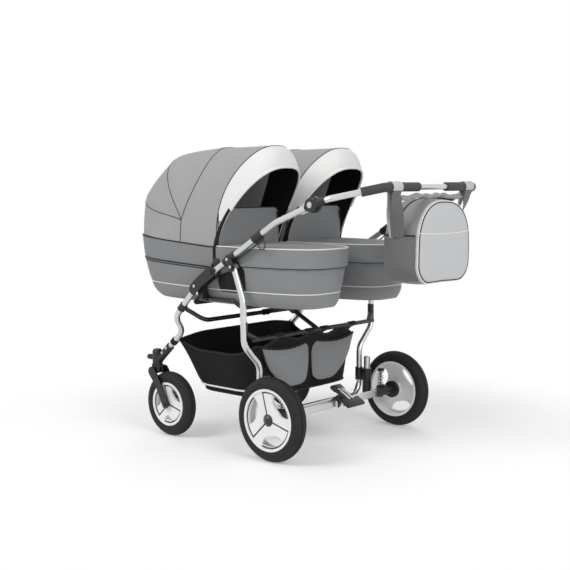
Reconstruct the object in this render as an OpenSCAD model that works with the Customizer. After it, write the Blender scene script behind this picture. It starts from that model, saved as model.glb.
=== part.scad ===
// Twin pram: two carrycots side by side on one folding chassis with four wheels.
// Left is +X, the front is -Y and up is +Z. All lengths are in millimetres.
// The modules measure along the pram from the rear axle, and pram() moves that to the middle of the whole.

/* [Wheels] */
// Diameter of the rear wheels over the tyre
rear_wheel_d = 290; // [240:1:350]
// Width of the rear tyres
rear_tyre_w = 54; // [45:1:65]
// Diameter of the rear rims
rear_rim_d = 214; // [178:1:228]
// Diameter of the front wheels over the tyre
front_wheel_d = 240; // [200:1:290]
// Width of the front tyres
front_tyre_w = 48; // [40:1:58]
// Diameter of the front rims
front_rim_d = 162; // [135:1:180]
// Distance between the middles of the rear tyres
rear_track = 722; // [660:1:870]
// Distance between the middles of the front tyres
front_track = 656; // [546:1:790]
// Distance from the rear axle to the front axle
wheelbase = 534; // [480:1:640]
// Distance that a front wheel trails behind its swivel
caster_trail = 76; // [63:1:92]
// Diameter of the wheel axles
axle_d = 10; // [8:0.5:12]
// Thickness of the face of a rim
spoke_t = 10; // [8:0.5:12]

/* [Chassis] */
// Diameter of the silver legs and rails
frame_tube_d = 22; // [18:0.5:26.5]
// Diameter of the black cross tubes
brace_tube_d = 16; // [13:0.5:19.5]
// Diameter of the hoop under the carrycots
cradle_tube_d = 14; // [11:0.5:17]
// Bend radius of the legs
leg_bend = 55; // [45:1:66]
// Fold pivot, ahead of the rear axle
fold_ahead = 272; // [230:1:320]
// Fold pivot, above the ground
fold_z = 630; // [600:1:660]
// Rear leg pivot, behind the fold pivot
leg_pivot_back = 100; // [85:1:120]
// Rear leg pivot, above the fold pivot
leg_pivot_up = 23; // [19:1:27]
// Slope of the rails
rail_slope = 31.6; // [28:0.1:34]
// Length of a rail from the fold pivot to its bend
rail_low_len = 343; // [320:1:410]
// Length of a rail from its bend to the handle pivot
rail_top_len = 172; // [145:1:206]
// Slope of the rails above the bend
rail_top_slope = 20.8; // [17:0.1:25]
// Centre link pivot on the rear frame, ahead of the rear axle
link_ahead = 240; // [220:1:250]
// Centre link pivot on the rear frame, above the ground
link_z = 478; // [465:1:490]
// Rear cross tube, ahead of the rear axle
rear_tube_ahead = 104; // [96:1:112]
// Rear cross tube, above the ground
rear_tube_z = 403; // [385:1:412]
// Gap between a rear tyre and the lower leg beside it
leg_wheel_gap = 36; // [30:1:43]
// Lower part of the rear legs, ahead of the rear axle
leg_low_ahead = 125; // [118:1:132]
// Space between a carrycot and the rail beside it
rail_gap = 6; // [5:0.5:8]

/* [Handle] */
// Diameter of the handle tube
handle_tube_d = 20; // [17:0.5:24]
// Length of the handle arms
handle_reach = 217; // [190:1:260]
// Slope of the handle arms
handle_slope = 15.3; // [10:0.1:20]
// Width of the handle between the corners
handle_w = 516; // [430:1:620]
// Diameter of the grips
grip_d = 30; // [27:0.5:36]
// Length of bare tube in the middle of the handle
handle_bare = 164; // [120:1:200]
// Radius of the pivot discs
pivot_disc_r = 26; // [23:0.5:28]

/* [Carrycots] */
// Outside width of one carrycot
cot_w = 326; // [275:1:392]
// Space between the two carrycots
cot_gap = 44; // [38:1:52]
// Underside of the carrycots, above the ground
cot_floor_z = 515; // [505:1:525]
// Rim of the carrycots, above the ground
cot_rim_z = 716; // [690:1:740]
// Rise of the rim at the head end
head_rise = 29; // [24:1:35]
// Foot end, behind the rear axle
foot_behind = 130; // [110:1:155]
// Head end, ahead of the rear axle
head_ahead = 766; // [700:1:800]
// Thickness of the carrycot walls
cot_wall = 8; // [6:0.5:10]
// Top of the hoods, above the ground
hood_top_z = 1071; // [1030:1:1110]
// Thickness of the hood cloth and its lining
hood_t = 4; // [3:0.5:5]
// Front edge of the apron, ahead of the rear axle
apron_ahead = 268; // [255:1:280]
// Height of the upright flap
flap_h = 128; // [106:1:150]

/* [Basket and bag] */
// Width of the basket at its rim
basket_w = 600; // [560:1:610]
// Underside of the basket, above the ground
basket_z = 165; // [155:1:180]
// Height of the basket at its ends
basket_h = 215; // [185:1:218]
// Width of the bag
bag_w = 310; // [258:1:360]
// Depth of the bag
bag_d = 140; // [116:1:150]
// Underside of the bag, above the ground
bag_z = 612; // [600:1:660]

/* [Fits] */
// Radial play of a turning or sliding fit
run_fit = 0.05; // [0.02:0.01:0.1]
// Gap between a soft piece and what it lies on
soft_gap = 0.3; // [0.3:0.1:0.6]

/* [Hidden] */
$fn = 48;

// Colours
silver = "#c4c7ca";
black = "#1b1c1e";
charcoal = "#2c2e31";
hood_grey = "#b3b3b2";
body_grey = "#85878a";
white = "#efefec";

// Places that several pieces share, along the pram and up
frame_r = frame_tube_d / 2;
brace_r = brace_tube_d / 2;
cradle_r = cradle_tube_d / 2;
handle_r = handle_tube_d / 2;
grip_r = grip_d / 2;
axle_r = axle_d / 2;
cot_x = cot_gap / 2 + cot_w / 2;
rail_x = cot_gap / 2 + cot_w + rail_gap + frame_r;
axle_z = rear_wheel_d / 2;
front_axle_z = front_wheel_d / 2;
rear_x = rear_track / 2;
front_x = front_track / 2;
leg_low_x = rear_x - rear_tyre_w / 2 - leg_wheel_gap - frame_r;
fold_p = [-fold_ahead, fold_z];
leg_p = fold_p + [leg_pivot_back, leg_pivot_up];
link_rear_p = [-link_ahead, link_z];
link_front_p = link_rear_p - [leg_pivot_back, leg_pivot_up];
rail_dir = [cos(rail_slope), sin(rail_slope)];
rail_down = [sin(rail_slope), -cos(rail_slope)];
rail_bend_p = fold_p + rail_low_len * rail_dir;
handle_p = rail_bend_p + rail_top_len * [cos(rail_top_slope), sin(rail_top_slope)];
arm_dir = [cos(handle_slope), sin(handle_slope)];
bar_p = handle_p + handle_reach * arm_dir;
bag_rear = bar_p[0] + bag_d * 0.38;
swivel_y = -wheelbase - caster_trail;
rear_tube_p = [-rear_tube_ahead, rear_tube_z];
// Half of the space between the cheeks that hold a tube's flat end, and the reach of those cheeks
cheek_gap = frame_r + 0.3;
cheek_in = frame_r + 3.5;
cheek_out = frame_r + 6;
pin_r = 5;
// Moves the rear axle back, so that the middle of the pram's length lies over the origin
axle_y = (head_ahead - bag_rear) / 2;

// Where the caster housing stands
caster_low = front_wheel_d + 8;
caster_h = 70;
caster_r = 19;
stem_r = 8;
leg_foot_z = caster_low + 24;

// Path of a left front leg, from the caster to the hinge bracket
leg_foot_p = [front_x, swivel_y + 12, leg_foot_z + 7];
leg_knee_p = [front_x, swivel_y + 144, leg_foot_z + 129];
leg_shin_p = [rail_x, fold_p[0] - 198, fold_p[1] - 178];
leg_neck_p = [rail_x, fold_p[0] - 112, fold_p[1] - 87];
leg_top_p = [rail_x, fold_p[0] - 70, fold_p[1] - 53];
front_leg_dir = unit(leg_knee_p - leg_foot_p);
front_leg_path = [leg_foot_p + 14.1 * front_leg_dir, leg_knee_p, leg_shin_p, leg_neck_p, leg_top_p];

// Path of the left half of the rear legs, from the pivot to the low corner
leg_u_z = axle_z - 27;
rear_leg_path = [
    [rail_x, leg_p[0], leg_p[1]],
    [rail_x, -leg_low_ahead - 4, leg_p[1] - 113],
    [rail_x, -leg_low_ahead, rear_tube_z - 20],
    [leg_low_x, -leg_low_ahead, rear_tube_z - 98],
    [leg_low_x, -leg_low_ahead, leg_u_z]
];

// Path of the left half of the handle, from the knuckle to the corner of the bar
arm_x = rail_x + 8;
arm_start = 40;
arm_turn = 76;
socket_reach = pivot_disc_r + 36;
handle_path = [
    arm_at(arm_start, arm_x),
    arm_at(arm_turn, arm_x),
    [handle_w / 2, bar_p[0], bar_p[1]]
];
// The arm turns inwards only after it has left its socket
arm_swing = atan2(arm_x - handle_w / 2, handle_reach - arm_turn);
handle_bends = [min(60, (arm_turn - socket_reach - 0.8) / tan(arm_swing / 2)), 42];

// Cradle hoop under the carrycots
cradle_z = cot_floor_z - soft_gap - cradle_r;
cradle_x = cot_gap / 2 + cot_w - 7;
cradle_side_z = cradle_z + 24;
cradle_front = 405;
cradle_rear = 165;
lug_y = fold_p[0] - 63;

// Suspension pillars, on the lugs of the axle sleeves
pillar_y = -20;
pillar_r = 4;
lug_top = axle_z + 22;
spring_h = 54;
spring_turns = 6;
spring_wire = 3.2;
spring_r = 9.5;

// Brake
pedal_p = [15, axle_z + 21];
brake_r = 20;
// Turn of the brake pins about the axle
brake_turn = 60;

// Vector helpers
function unit(v) = v / norm(v);
function at(p, x) = [x, p[0], p[1]];
function arm_at(r, x) = at(handle_p + r * arm_dir, x);
function rail_at(s, down = 0) = fold_p + s * rail_dir + down * rail_down;
function mirrored(p) = [-p[0], p[1], p[2]];
function both(half) = concat(half, [for (i = [len(half) - 1:-1:0]) mirrored(half[i])]);
function signed_pow(v, e) = sign(v) * pow(abs(v), e);
function flat(lists) = [for (l = lists) each l];

// Moves what is drawn along the pram from the rear axle to its place
module pram() {
    translate([0, axle_y, 0]) children();
}

// Draws the left piece, or its mirror image on the right
module on_side(side) {
    pram() mirror([side < 0 ? 1 : 0, 0, 0]) children();
}

// Turns +Z to the direction w
module aim(w) {
    helper = abs(w[2]) < 0.9 ? [0, 0, 1] : [1, 0, 0];
    u = unit(cross(helper, w));
    v = cross(w, u);
    multmatrix([[u[0], v[0], w[0], 0], [u[1], v[1], w[1], 0], [u[2], v[2], w[2], 0], [0, 0, 0, 1]]) children();
}

// Round bar from p to q
module rod(p, q, r) {
    translate(p) aim(unit(q - p)) cylinder(r = r, h = norm(q - p));
}

// Round disc or bar along X, between two values of x
module disc(p, x0, x1, r) {
    translate([x0, p[0], p[1]]) rotate([0, 90, 0]) cylinder(r = r, h = x1 - x0);
}

// Flat outline in the plane along the pram, as thick as from x0 to x1
module plate(x0, x1) {
    multmatrix([[0, 0, 1, x0], [1, 0, 0, 0], [0, 1, 0, 0], [0, 0, 0, 1]]) linear_extrude(x1 - x0) children();
}

// Flat bar from x0 to x1 with two round ends, and straight sides that cut a hair into both
module link_plate(x0, x1, p, rp, q, rq) {
    hair = 0.03;
    d = q - p;
    turn = acos((rp - rq) / norm(d));
    a = atan2(d[1], d[0]);
    sides = [[rp - hair, p, 1], [rq - hair, q, 1], [rq - hair, q, -1], [rp - hair, p, -1]];
    disc(p, x0, x1, rp);
    disc(q, x0, x1, rq);
    plate(x0, x1) polygon([for (s = sides) s[1] + s[0] * [cos(a + s[2] * turn), sin(a + s[2] * turn)]]);
}

// Tube along a path, with a round bend at each inner point. The bends are a hair thicker than the
// straights, which run a little way into them, so that each joint is one clean solid.
module bent_tube(path, bends, r) {
    hair = 0.1;
    lap = 1;
    last = len(path) - 1;
    dirs = [for (i = [0:last - 1]) unit(path[i + 1] - path[i])];
    angles = [for (i = [1:last - 1]) acos(dirs[i - 1] * dirs[i])];
    bend = function(i) is_list(bends) ? bends[i] : bends;
    cut = function(i) i < 1 || i > last - 1 ? 0 : bend(i - 1) * tan(angles[i - 1] / 2);
    reach = function(i) i < 1 || i > last - 1 ? 0 : cut(i) - lap;
    for (i = [0:last - 1])
        rod(path[i] + dirs[i] * reach(i), path[i + 1] - dirs[i] * reach(i + 1), r);
    for (i = [1:last - 1]) {
        n = unit(cross(dirs[i - 1], dirs[i]));
        inward = cross(n, dirs[i - 1]);
        centre = path[i] - dirs[i - 1] * cut(i) + inward * bend(i - 1);
        columns = [-inward, dirs[i - 1], n, centre];
        rows = [for (k = [0:2]) [for (c = columns) c[k]]];
        multmatrix(concat(rows, [[0, 0, 0, 1]]))
            rotate_extrude(angle = angles[i - 1]) translate([bend(i - 1), 0]) circle(r = r + hair);
    }
}

// Closed solid through rings of points, each ring turning to the left seen from its far end
module loft(rings) {
    n = len(rings[0]);
    last = len(rings) - 1;
    sides = [for (k = [0:last - 1], i = [0:n - 1], half = [0, 1])
        let (a = k * n + i, b = k * n + (i + 1) % n)
        half == 0 ? [a, a + n, b] : [b, a + n, b + n]];
    first = [for (i = [1:n - 2]) [0, i, i + 1]];
    final = [for (i = [1:n - 2]) [last * n, last * n + i + 1, last * n + i]];
    polyhedron(points = flat(rings), faces = concat(sides, first, final));
}

// Closed solid between two sheets of points that have the same rows
module sheet(outer, inner) {
    n = len(outer[0]);
    rows = len(outer);
    far = rows * n;
    strip = function(a, b, a2, b2) [[a, a2, b], [b, a2, b2]];
    skins = [for (k = [0:rows - 2], i = [0:n - 2])
        let (o = k * n + i, p = far + o)
        each concat(strip(o, o + 1, o + n, o + n + 1), strip(p + 1, p, p + n + 1, p + n))];
    sides = [for (k = [0:rows - 2])
        let (first = k * n, last = first + n - 1)
        each concat(strip(last, far + last, last + n, far + last + n),
            strip(far + first, first, far + first + n, first + n))];
    ends = [for (i = [0:n - 2])
        let (o = i, p = far + i, q = far - n + i, r = 2 * far - n + i)
        each concat(strip(p, p + 1, o, o + 1), strip(q, q + 1, r, r + 1))];
    polyhedron(points = concat(flat(outer), flat(inner)), faces = concat(skins, sides, ends));
}

// Wheels

// Round body of a wheel, from an outline of radius and width, turned about X with +X outboard
module turned() {
    rotate([0, 90, 0]) rotate_extrude() children();
}

module tyre(wheel_d, tyre_w, rim_d) {
    section_r = tyre_w / 2;
    groove = 3;
    color(black) difference() {
        turned() difference() {
            translate([wheel_d / 2 - section_r, 0]) circle(r = section_r);
            translate([rim_d / 2 - wheel_d, -tyre_w]) square([wheel_d, 2 * tyre_w]);
            for (s = [-1, 1]) translate([wheel_d / 2 - 2, s * tyre_w * 0.17]) circle(r = groove);
        }
    }
}

// Turn of the first line on the rims, and how far each line then runs along the edge
line_turn = 105;
line_sweep = 92;
line_w = 5.6;
line_deep = 1.2;

// Window between two lines of a rim: an arc along the edge and a rounded side towards the hub
function rim_window(edge_r, out_r) = concat(
    [for (a = [10:67 / 8:77]) out_r * [cos(a), sin(a)]],
    [for (p = [[0.66, 74], [0.57, 68], [0.52, 58], [0.5, 44], [0.52, 29], [0.57, 19], [0.66, 13]])
        p[0] * edge_r * [cos(p[1]), sin(p[1])]]
);

// Rim with a plate at its outboard face: three windows, and three sunk lines that leave the hub and turn along
// the edge
module rim(tyre_w, rim_d, bore_r, hub_r, hub_in) {
    edge_r = rim_d / 2 - run_fit;
    well = 9;
    well_r = edge_r - well;
    line_r = well_r - line_w / 2 - 0.5;
    face = tyre_w * 0.37;
    hub_len = hub_in + face;
    color(white) difference() {
        union() {
            turned() translate([well_r, -tyre_w * 0.45]) square([well, tyre_w * 0.9]);
            translate([-hub_in, 0, 0]) rotate([0, 90, 0]) cylinder(r = hub_r, h = hub_len);
            translate([face - spoke_t, 0, 0]) rotate([0, 90, 0]) cylinder(r = well_r + 1, h = spoke_t);
        }
        translate([-hub_in - 1, 0, 0]) rotate([0, 90, 0]) cylinder(r = bore_r, h = hub_len + 2);
        for (k = [0:2]) rotate([120 * k, 0, 0]) {
            plate(face - spoke_t - 1, face + 1) polygon(rim_window(edge_r, line_r - line_w / 2 - 1));
            rotate([line_turn, 0, 0]) plate(face - line_deep, face + 1)
                translate([hub_r - 1, -line_w / 2]) square([line_r - hub_r + 1, line_w]);
            rotate([line_turn - line_sweep, 0, 0]) rotate([0, 90, 0]) rotate([0, 0, 90])
                rotate_extrude(angle = line_sweep) translate([line_r - line_w / 2, face - line_deep])
                    square([line_w, line_deep + 1]);
        }
    }
}

module rear_tyre(side) {
    on_side(side) translate([rear_x, 0, axle_z]) tyre(rear_wheel_d, rear_tyre_w, rear_rim_d);
}

// Rear rim with its black domed cap and the ring of holes that takes the brake pin
module rear_rim(side) {
    hub_r = 25;
    hub_in = rear_tyre_w / 2 - 5;
    face = rear_tyre_w * 0.37;
    holes = 12;
    on_side(side) translate([rear_x, 0, axle_z]) {
        difference() {
            rim(rear_tyre_w, rear_rim_d, axle_r + run_fit, hub_r, hub_in);
            for (k = [0:holes - 1]) rotate([360 / holes * k, 0, 0])
                translate([-hub_in - 1, 0, brake_r]) rotate([0, 90, 0]) cylinder(r = 3.4, h = 13);
        }
        color(black) translate([face + run_fit, 0, 0]) rotate([0, 90, 0]) rotate_extrude() {
            intersection() {
                translate([0, -14]) circle(r = 24);
                square([24, 12]);
            }
        }
    }
}

module front_tyre(side) {
    on_side(side) translate([front_x, -wheelbase, front_axle_z]) tyre(front_wheel_d, front_tyre_w, front_rim_d);
}

module front_rim(side) {
    on_side(side) translate([front_x, -wheelbase, front_axle_z])
        rim(front_tyre_w, front_rim_d, axle_r + run_fit, 20, front_tyre_w * 0.4);
}

// Casters

// Swivel housing, with the socket that takes the foot of the leg
module caster_housing(side) {
    socket_end = leg_foot_p + 84 * front_leg_dir;
    boss_z = leg_foot_z + 12;
    boss_end = swivel_y - caster_r - 11;
    on_side(side) color(charcoal) difference() {
        union() {
            translate([front_x, swivel_y, caster_low]) cylinder(r = caster_r, h = caster_h - 8);
            translate([front_x, swivel_y, caster_low + caster_h - 8]) cylinder(r1 = caster_r, r2 = 13, h = 8);
            translate([front_x, swivel_y, caster_low]) cylinder(r = caster_r + 3, h = 12);
            rod(leg_foot_p, socket_end, frame_r + 4);
            rod([front_x, swivel_y, boss_z], [front_x, boss_end, boss_z], 9);
        }
        translate([front_x, swivel_y, caster_low - 1]) cylinder(r = stem_r + run_fit, h = caster_h - 12);
        rod([front_x, swivel_y, boss_z], [front_x, boss_end - 1, boss_z], 5 + run_fit);
        rod(leg_foot_p + 14 * front_leg_dir, leg_knee_p, frame_r + run_fit);
    }
}

// Spring knob that locks the swivel
module swivel_lock(side) {
    boss_end = swivel_y - caster_r - 11;
    knob_z = leg_foot_z + 12;
    on_side(side) color(black) {
        rod([front_x, swivel_y - stem_r - 3, knob_z], [front_x, boss_end - 1, knob_z], 5);
        rod([front_x, boss_end - soft_gap, knob_z], [front_x, boss_end - 16, knob_z], 10);
        rod([front_x, boss_end - 15, knob_z], [front_x, boss_end - 20, knob_z], 8);
    }
}

// Fork with its stem and the wheel's axle
module fork(side) {
    inside = front_tyre_w / 2 + 5;
    blade = 6;
    crown = [swivel_y + 4, caster_low - 12];
    hub = [-wheelbase, front_axle_z];
    knee = [swivel_y + 40, caster_low - 58];
    on_side(side) color(charcoal) {
        translate([front_x, swivel_y, caster_low - 14]) cylinder(r = stem_r, h = caster_h - 4);
        translate([front_x, swivel_y, caster_low - 14]) cylinder(r = caster_r + 3, h = 13.5);
        for (s = [-1, 1]) {
            x0 = front_x + (s < 0 ? -inside - blade : inside);
            link_plate(x0, x0 + blade, crown, 18, knee, 15);
            link_plate(x0, x0 + blade, knee, 15, hub, 15);
        }
        link_plate(front_x - inside - 1, front_x + inside + 1, crown - [5, 0], 10, crown + [4, 0], 9);
        disc(hub, front_x - inside - blade - 3, front_x + inside + blade + 3, axle_r);
        for (s = [-1, 1]) {
            gap = front_tyre_w * (s < 0 ? 0.4 : 0.37) + 1;
            x0 = front_x + (s < 0 ? -inside - 1 : gap);
            disc(hub, x0, x0 + inside + 1 - gap, axle_r + 4);
        }
    }
}

// Chassis front

module front_leg(side) {
    on_side(side) color(silver) bent_tube(front_leg_path, leg_bend, frame_r);
}

// Casting that holds the top of a front leg and carries the fold pivot
module hinge_bracket(side) {
    root = [leg_neck_p[1] + 28, leg_neck_p[2] + 22];
    waist = fold_p - [56, 38];
    lug = [lug_y, cradle_side_z];
    on_side(side) color(charcoal) difference() {
        union() {
            link_plate(rail_x - cheek_in, rail_x + cheek_out, root, 21, waist, 19);
            for (x = [[-cheek_in, -cheek_gap], [cheek_gap, cheek_out]])
                link_plate(rail_x + x[0], rail_x + x[1], waist, 18.6, fold_p, 20);
            disc(fold_p, rail_x - cheek_in, rail_x + cheek_out + 2, pin_r);
            disc(fold_p, rail_x + cheek_gap, rail_x + cheek_out + 3, 9);
            rod(at(lug - [12, 0], cradle_x), at(lug + [12, 0], cradle_x), cradle_r + 3.5);
            translate([cradle_x, lug[0] - 10, lug[1]]) cube([rail_x - cradle_x, 20, waist[1] - lug[1]]);
        }
        rod(at(lug - [13, 0], cradle_x), at(lug + [13, 0], cradle_x), cradle_r + run_fit);
        bent_tube([leg_shin_p, leg_neck_p, leg_top_p], leg_bend, frame_r + run_fit);
    }
}

// Dropped tube between the front legs, with the clevis of the centre link
module front_cross_tube() {
    clamp = unit(leg_neck_p - leg_shin_p);
    hold = leg_shin_p + 58 * clamp;
    low = link_front_p + [-17, -7];
    half = [hold, at(low, rail_x - 40)];
    color(black) pram() difference() {
        union() {
            bent_tube(both(half), 38, brace_r);
            for (s = [0, 1]) mirror([s, 0, 0]) {
                rod(hold - 13 * clamp, hold + 13 * clamp, frame_r + 3.5);
                link_plate(8.5, 12.5, low, 12, link_front_p, 8);
            }
            disc(link_front_p, -14, 14, 4);
        }
        for (s = [0, 1]) mirror([s, 0, 0])
            rod(hold - 30 * clamp, hold + 30 * clamp, frame_r + run_fit);
    }
}

// Hoop that carries the carrycots, in two halves that meet inside the lugs of the hinge brackets
module cot_cradle() {
    corner = [10, 34];
    for (end = [[-cradle_rear, 1], [-cradle_front, -1]])
        color(black) pram() bent_tube(both([
            [cradle_x, lug_y + 0.05 * end[1], cradle_side_z],
            [cradle_x, end[0] - corner[1] * end[1], cradle_side_z],
            [cradle_x - corner[0], end[0], cradle_z]
        ]), 22, cradle_r);
}

// Cloth basket: rounded plan, floor rising to the front, sides scooped, hung on straps
basket_ring_n = 36;
// Rise of the floor towards the front, over the swivelling wheels
basket_rise = 30;
function basket_ring(h, inset) = [for (i = [0:basket_ring_n - 1])
    let (
        t = 360 * i / basket_ring_n,
        front = -448,
        rear = -142,
        a = basket_w / 2 - 62 * pow(1 - h, 2) - inset,
        base = basket_rise * (1 - h) * pow(max(0, -sin(t)), 2),
        x = a * signed_pow(cos(t), 0.4),
        y = (front + rear) / 2 + ((rear - front) / 2 - inset) * signed_pow(sin(t), 0.4),
        scoop = 50 * h * pow(abs(cos(t)), 3)
    )
    [x, y, basket_z + h * basket_h - scoop + base]];

module basket() {
    wall = 4;
    floor_t = 6;
    loop_w = 38;
    loops = [24, 190];
    clip_at = 0.64;
    clip = leg_foot_p + clip_at * (leg_knee_p - leg_foot_p);
    along = front_leg_dir;
    strap_end = [basket_w / 2 - 80, -438, basket_z + basket_h - 30];
    loop_end = [-146, basket_z + basket_h - 20];
    color(black) pram() {
        loft(concat(
            [for (h = [0, 0.04, 0.35, 0.7, 1]) basket_ring(h, h == 0 ? 10 : 0)],
            [for (h = [1, 0.6, 0.2, floor_t / basket_h]) basket_ring(h, wall)]
        ));
        for (s = [0, 1]) mirror([s, 0, 0]) {
            difference() {
                union() {
                    rod(clip - 7 * along, clip + 7 * along, frame_r + 3);
                    rod(clip, strap_end, 4);
                }
                rod(clip - 20 * along, clip + 20 * along, frame_r + soft_gap);
            }
            for (x = loops) difference() {
                union() {
                    disc(rear_tube_p, x, x + loop_w, brace_r + 2.4);
                    link_plate(x, x + loop_w, rear_tube_p, 3, loop_end, 2);
                }
                disc(rear_tube_p, x - 1, x + loop_w + 1, brace_r + soft_gap);
            }
        }
    }
}

// Push frame

// Rail with the eye at its foot and the pivot disc of the handle at its top
module side_rail(side) {
    down = unit(rail_bend_p - handle_p);
    top = handle_p + (pivot_disc_r + 4) * down;
    socket = handle_p + (pivot_disc_r + 26) * down;
    eye = frame_r - 0.4;
    on_side(side) {
        color(silver) difference() {
            union() {
                bent_tube([at(fold_p, rail_x), at(rail_bend_p, rail_x), at(top, rail_x)], 140, frame_r);
                disc(fold_p, rail_x - eye, rail_x + eye, frame_r + 2);
            }
            disc(fold_p, rail_x - frame_r - 1, rail_x + frame_r + 1, pin_r + run_fit);
        }
        color(charcoal) {
            disc(handle_p, rail_x - frame_r - 3, rail_x - 0.15, pivot_disc_r);
            disc(handle_p, rail_x - 1, rail_x + 9.5, 6);
            difference() {
                link_plate(rail_x - frame_r - 3, rail_x - 0.15, handle_p, 14, socket, 14);
                rod(at(rail_bend_p, rail_x), at(top, rail_x), frame_r + run_fit);
            }
        }
    }
}

// Casting on the rail that carries the rear leg
module leg_bracket(side) {
    along = leg_pivot_back * rail_dir[0] + leg_pivot_up * rail_dir[1];
    on_side(side) color(charcoal) difference() {
        union() {
            rod(at(rail_at(along - 30), rail_x), at(rail_at(along + 30), rail_x), cheek_in - 0.6);
            for (x = [-cheek_in, cheek_gap]) {
                x0 = rail_x + x;
                link_plate(x0, x0 + cheek_in - cheek_gap, rail_at(along), frame_r + 2, leg_p, 16);
            }
            disc(leg_p, rail_x - cheek_in, rail_x + cheek_in + 3, pin_r);
            disc(leg_p, rail_x + cheek_in - 1, rail_x + cheek_in + 4, 8);
        }
        rod(at(rail_at(along - 60), rail_x), at(rail_at(along + 60), rail_x), frame_r + run_fit);
    }
}

// Sleeve that slides on the rail, with its pull ring and the rod that holds the leg
module fold_lock(side) {
    s0 = 229;
    length = 44;
    rod_down = frame_r + 9;
    ring_r = 15;
    wire = 2;
    bracket_end = leg_pivot_back * rail_dir[0] + leg_pivot_up * rail_dir[1] + 16;
    ring_p = rail_at(s0 + length / 2, rod_down + 13);
    on_side(side) {
        color(charcoal) {
            difference() {
                union() {
                    rod(at(rail_at(s0), rail_x), at(rail_at(s0 + length), rail_x), cheek_in);
                    rod(at(rail_at(s0 + 6, rod_down - 3), rail_x),
                        at(rail_at(s0 + length - 6, rod_down - 3), rail_x), 6);
                }
                rod(at(rail_at(s0 - 1), rail_x), at(rail_at(s0 + length + 1), rail_x), frame_r + 0.08);
            }
            rod(at(rail_at(bracket_end, rod_down), rail_x), at(rail_at(s0 + 10, rod_down), rail_x), 2.5);
        }
        color(silver) translate(at(ring_p, rail_x)) rotate([0, 90, 0])
            rotate_extrude() translate([ring_r, 0]) circle(r = wire);
    }
}

// Handle

module handle_knuckle(side) {
    neck = handle_p + (pivot_disc_r + 8) * arm_dir;
    socket = [arm_at(pivot_disc_r + 3, arm_x), arm_at(socket_reach, arm_x)];
    on_side(side) color(charcoal) difference() {
        union() {
            disc(handle_p, rail_x + 0.15, rail_x + 16, pivot_disc_r - 4);
            link_plate(rail_x + 0.15, rail_x + 16, handle_p, 15, neck, handle_r + 1);
            rod(socket[0], socket[1], handle_r + 2);
        }
        disc(handle_p, rail_x, rail_x + 10, 6 + run_fit);
        disc(handle_p, rail_x + 10, rail_x + 17, 10 + soft_gap);
        rod(arm_at(arm_start - 0.2, arm_x), arm_at(arm_turn + 40, arm_x), handle_r + run_fit);
    }
}

module handle_button(side) {
    on_side(side) color(silver) {
        disc(handle_p, rail_x + 14.4, rail_x + 18.5, 10);
        disc(handle_p, rail_x + 18, rail_x + 20, 8);
    }
}

module handle_bar() {
    bends = [handle_bends[0], handle_bends[1], handle_bends[1], handle_bends[0]];
    color(silver) pram() bent_tube(both(handle_path), bends, handle_r);
}

// Soft grip round the corner of the handle
module grip(side) {
    corner = handle_path[2];
    on_arm = 80;
    start = corner + on_arm * unit(handle_path[1] - corner);
    path = [start, corner, [handle_bare / 2, bar_p[0], bar_p[1]]];
    longer = [corner + (on_arm + 28) * unit(handle_path[1] - corner), corner, [0, bar_p[0], bar_p[1]]];
    on_side(side) color(charcoal) difference() {
        bent_tube(path, handle_bends[1], grip_r);
        bent_tube(longer, handle_bends[1], handle_r + run_fit);
    }
}

// Changing bag with an arched back, side pockets and two strap loops
module bag() {
    arch_r = bag_w / 2;
    corner = 70;
    arch_z = bar_p[1] - 43 - arch_r;
    front = bag_rear - bag_d;
    loop_w = 40;
    loop_x = handle_w / 2 - 70;
    pocket = 11;
    pocket_top = arch_z + 20;
    strap_t = 2.4;
    strap_w = 40;
    strap_top = [loop_x + loop_w / 2, bar_p[1] - grip_r - 1.6];
    strap_low = [arch_r + pocket / 2, pocket_top - 4];
    color(body_grey) pram() {
        translate([0, bag_rear, 0]) rotate([90, 0, 0]) linear_extrude(bag_d) {
            intersection() {
                translate([0, arch_z]) circle(r = arch_r);
                translate([-arch_r, arch_z]) square([bag_w, arch_r]);
            }
            translate([-arch_r, bag_z + corner]) square([bag_w, arch_z - bag_z - corner]);
            translate([-arch_r + corner, bag_z]) square([bag_w - 2 * corner, corner + 1]);
            for (s = [-1, 1]) translate([s * (arch_r - corner), bag_z + corner]) circle(r = corner);
        }
        for (s = [0, 1]) mirror([s, 0, 0]) {
            translate([arch_r - 1, front + 16, bag_z + corner])
                cube([pocket + 1, bag_d - 32, pocket_top - bag_z - corner]);
            translate([0, bar_p[0] + strap_w / 2, 0]) rotate([90, 0, 0]) linear_extrude(strap_w)
                polygon([strap_low, strap_low + [strap_t, 0], strap_top + [strap_t, 0], strap_top]);
            difference() {
                disc(bar_p, loop_x, loop_x + loop_w, grip_r + 2.8);
                disc(bar_p, loop_x - 1, loop_x + loop_w + 1, grip_r + 0.4);
            }
        }
    }
}

// Rear frame

// Both rear legs in one bent tube, with the eyes at their tops
module rear_legs() {
    color(silver) pram() difference() {
        union() {
            bent_tube(both(rear_leg_path), leg_bend, frame_r);
            for (s = [-1, 1]) disc(leg_p, s * rail_x - 10, s * rail_x + 10, frame_r + 2);
        }
        for (s = [-1, 1]) disc(leg_p, s * rail_x - 15, s * rail_x + 15, pin_r + run_fit);
    }
}

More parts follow.
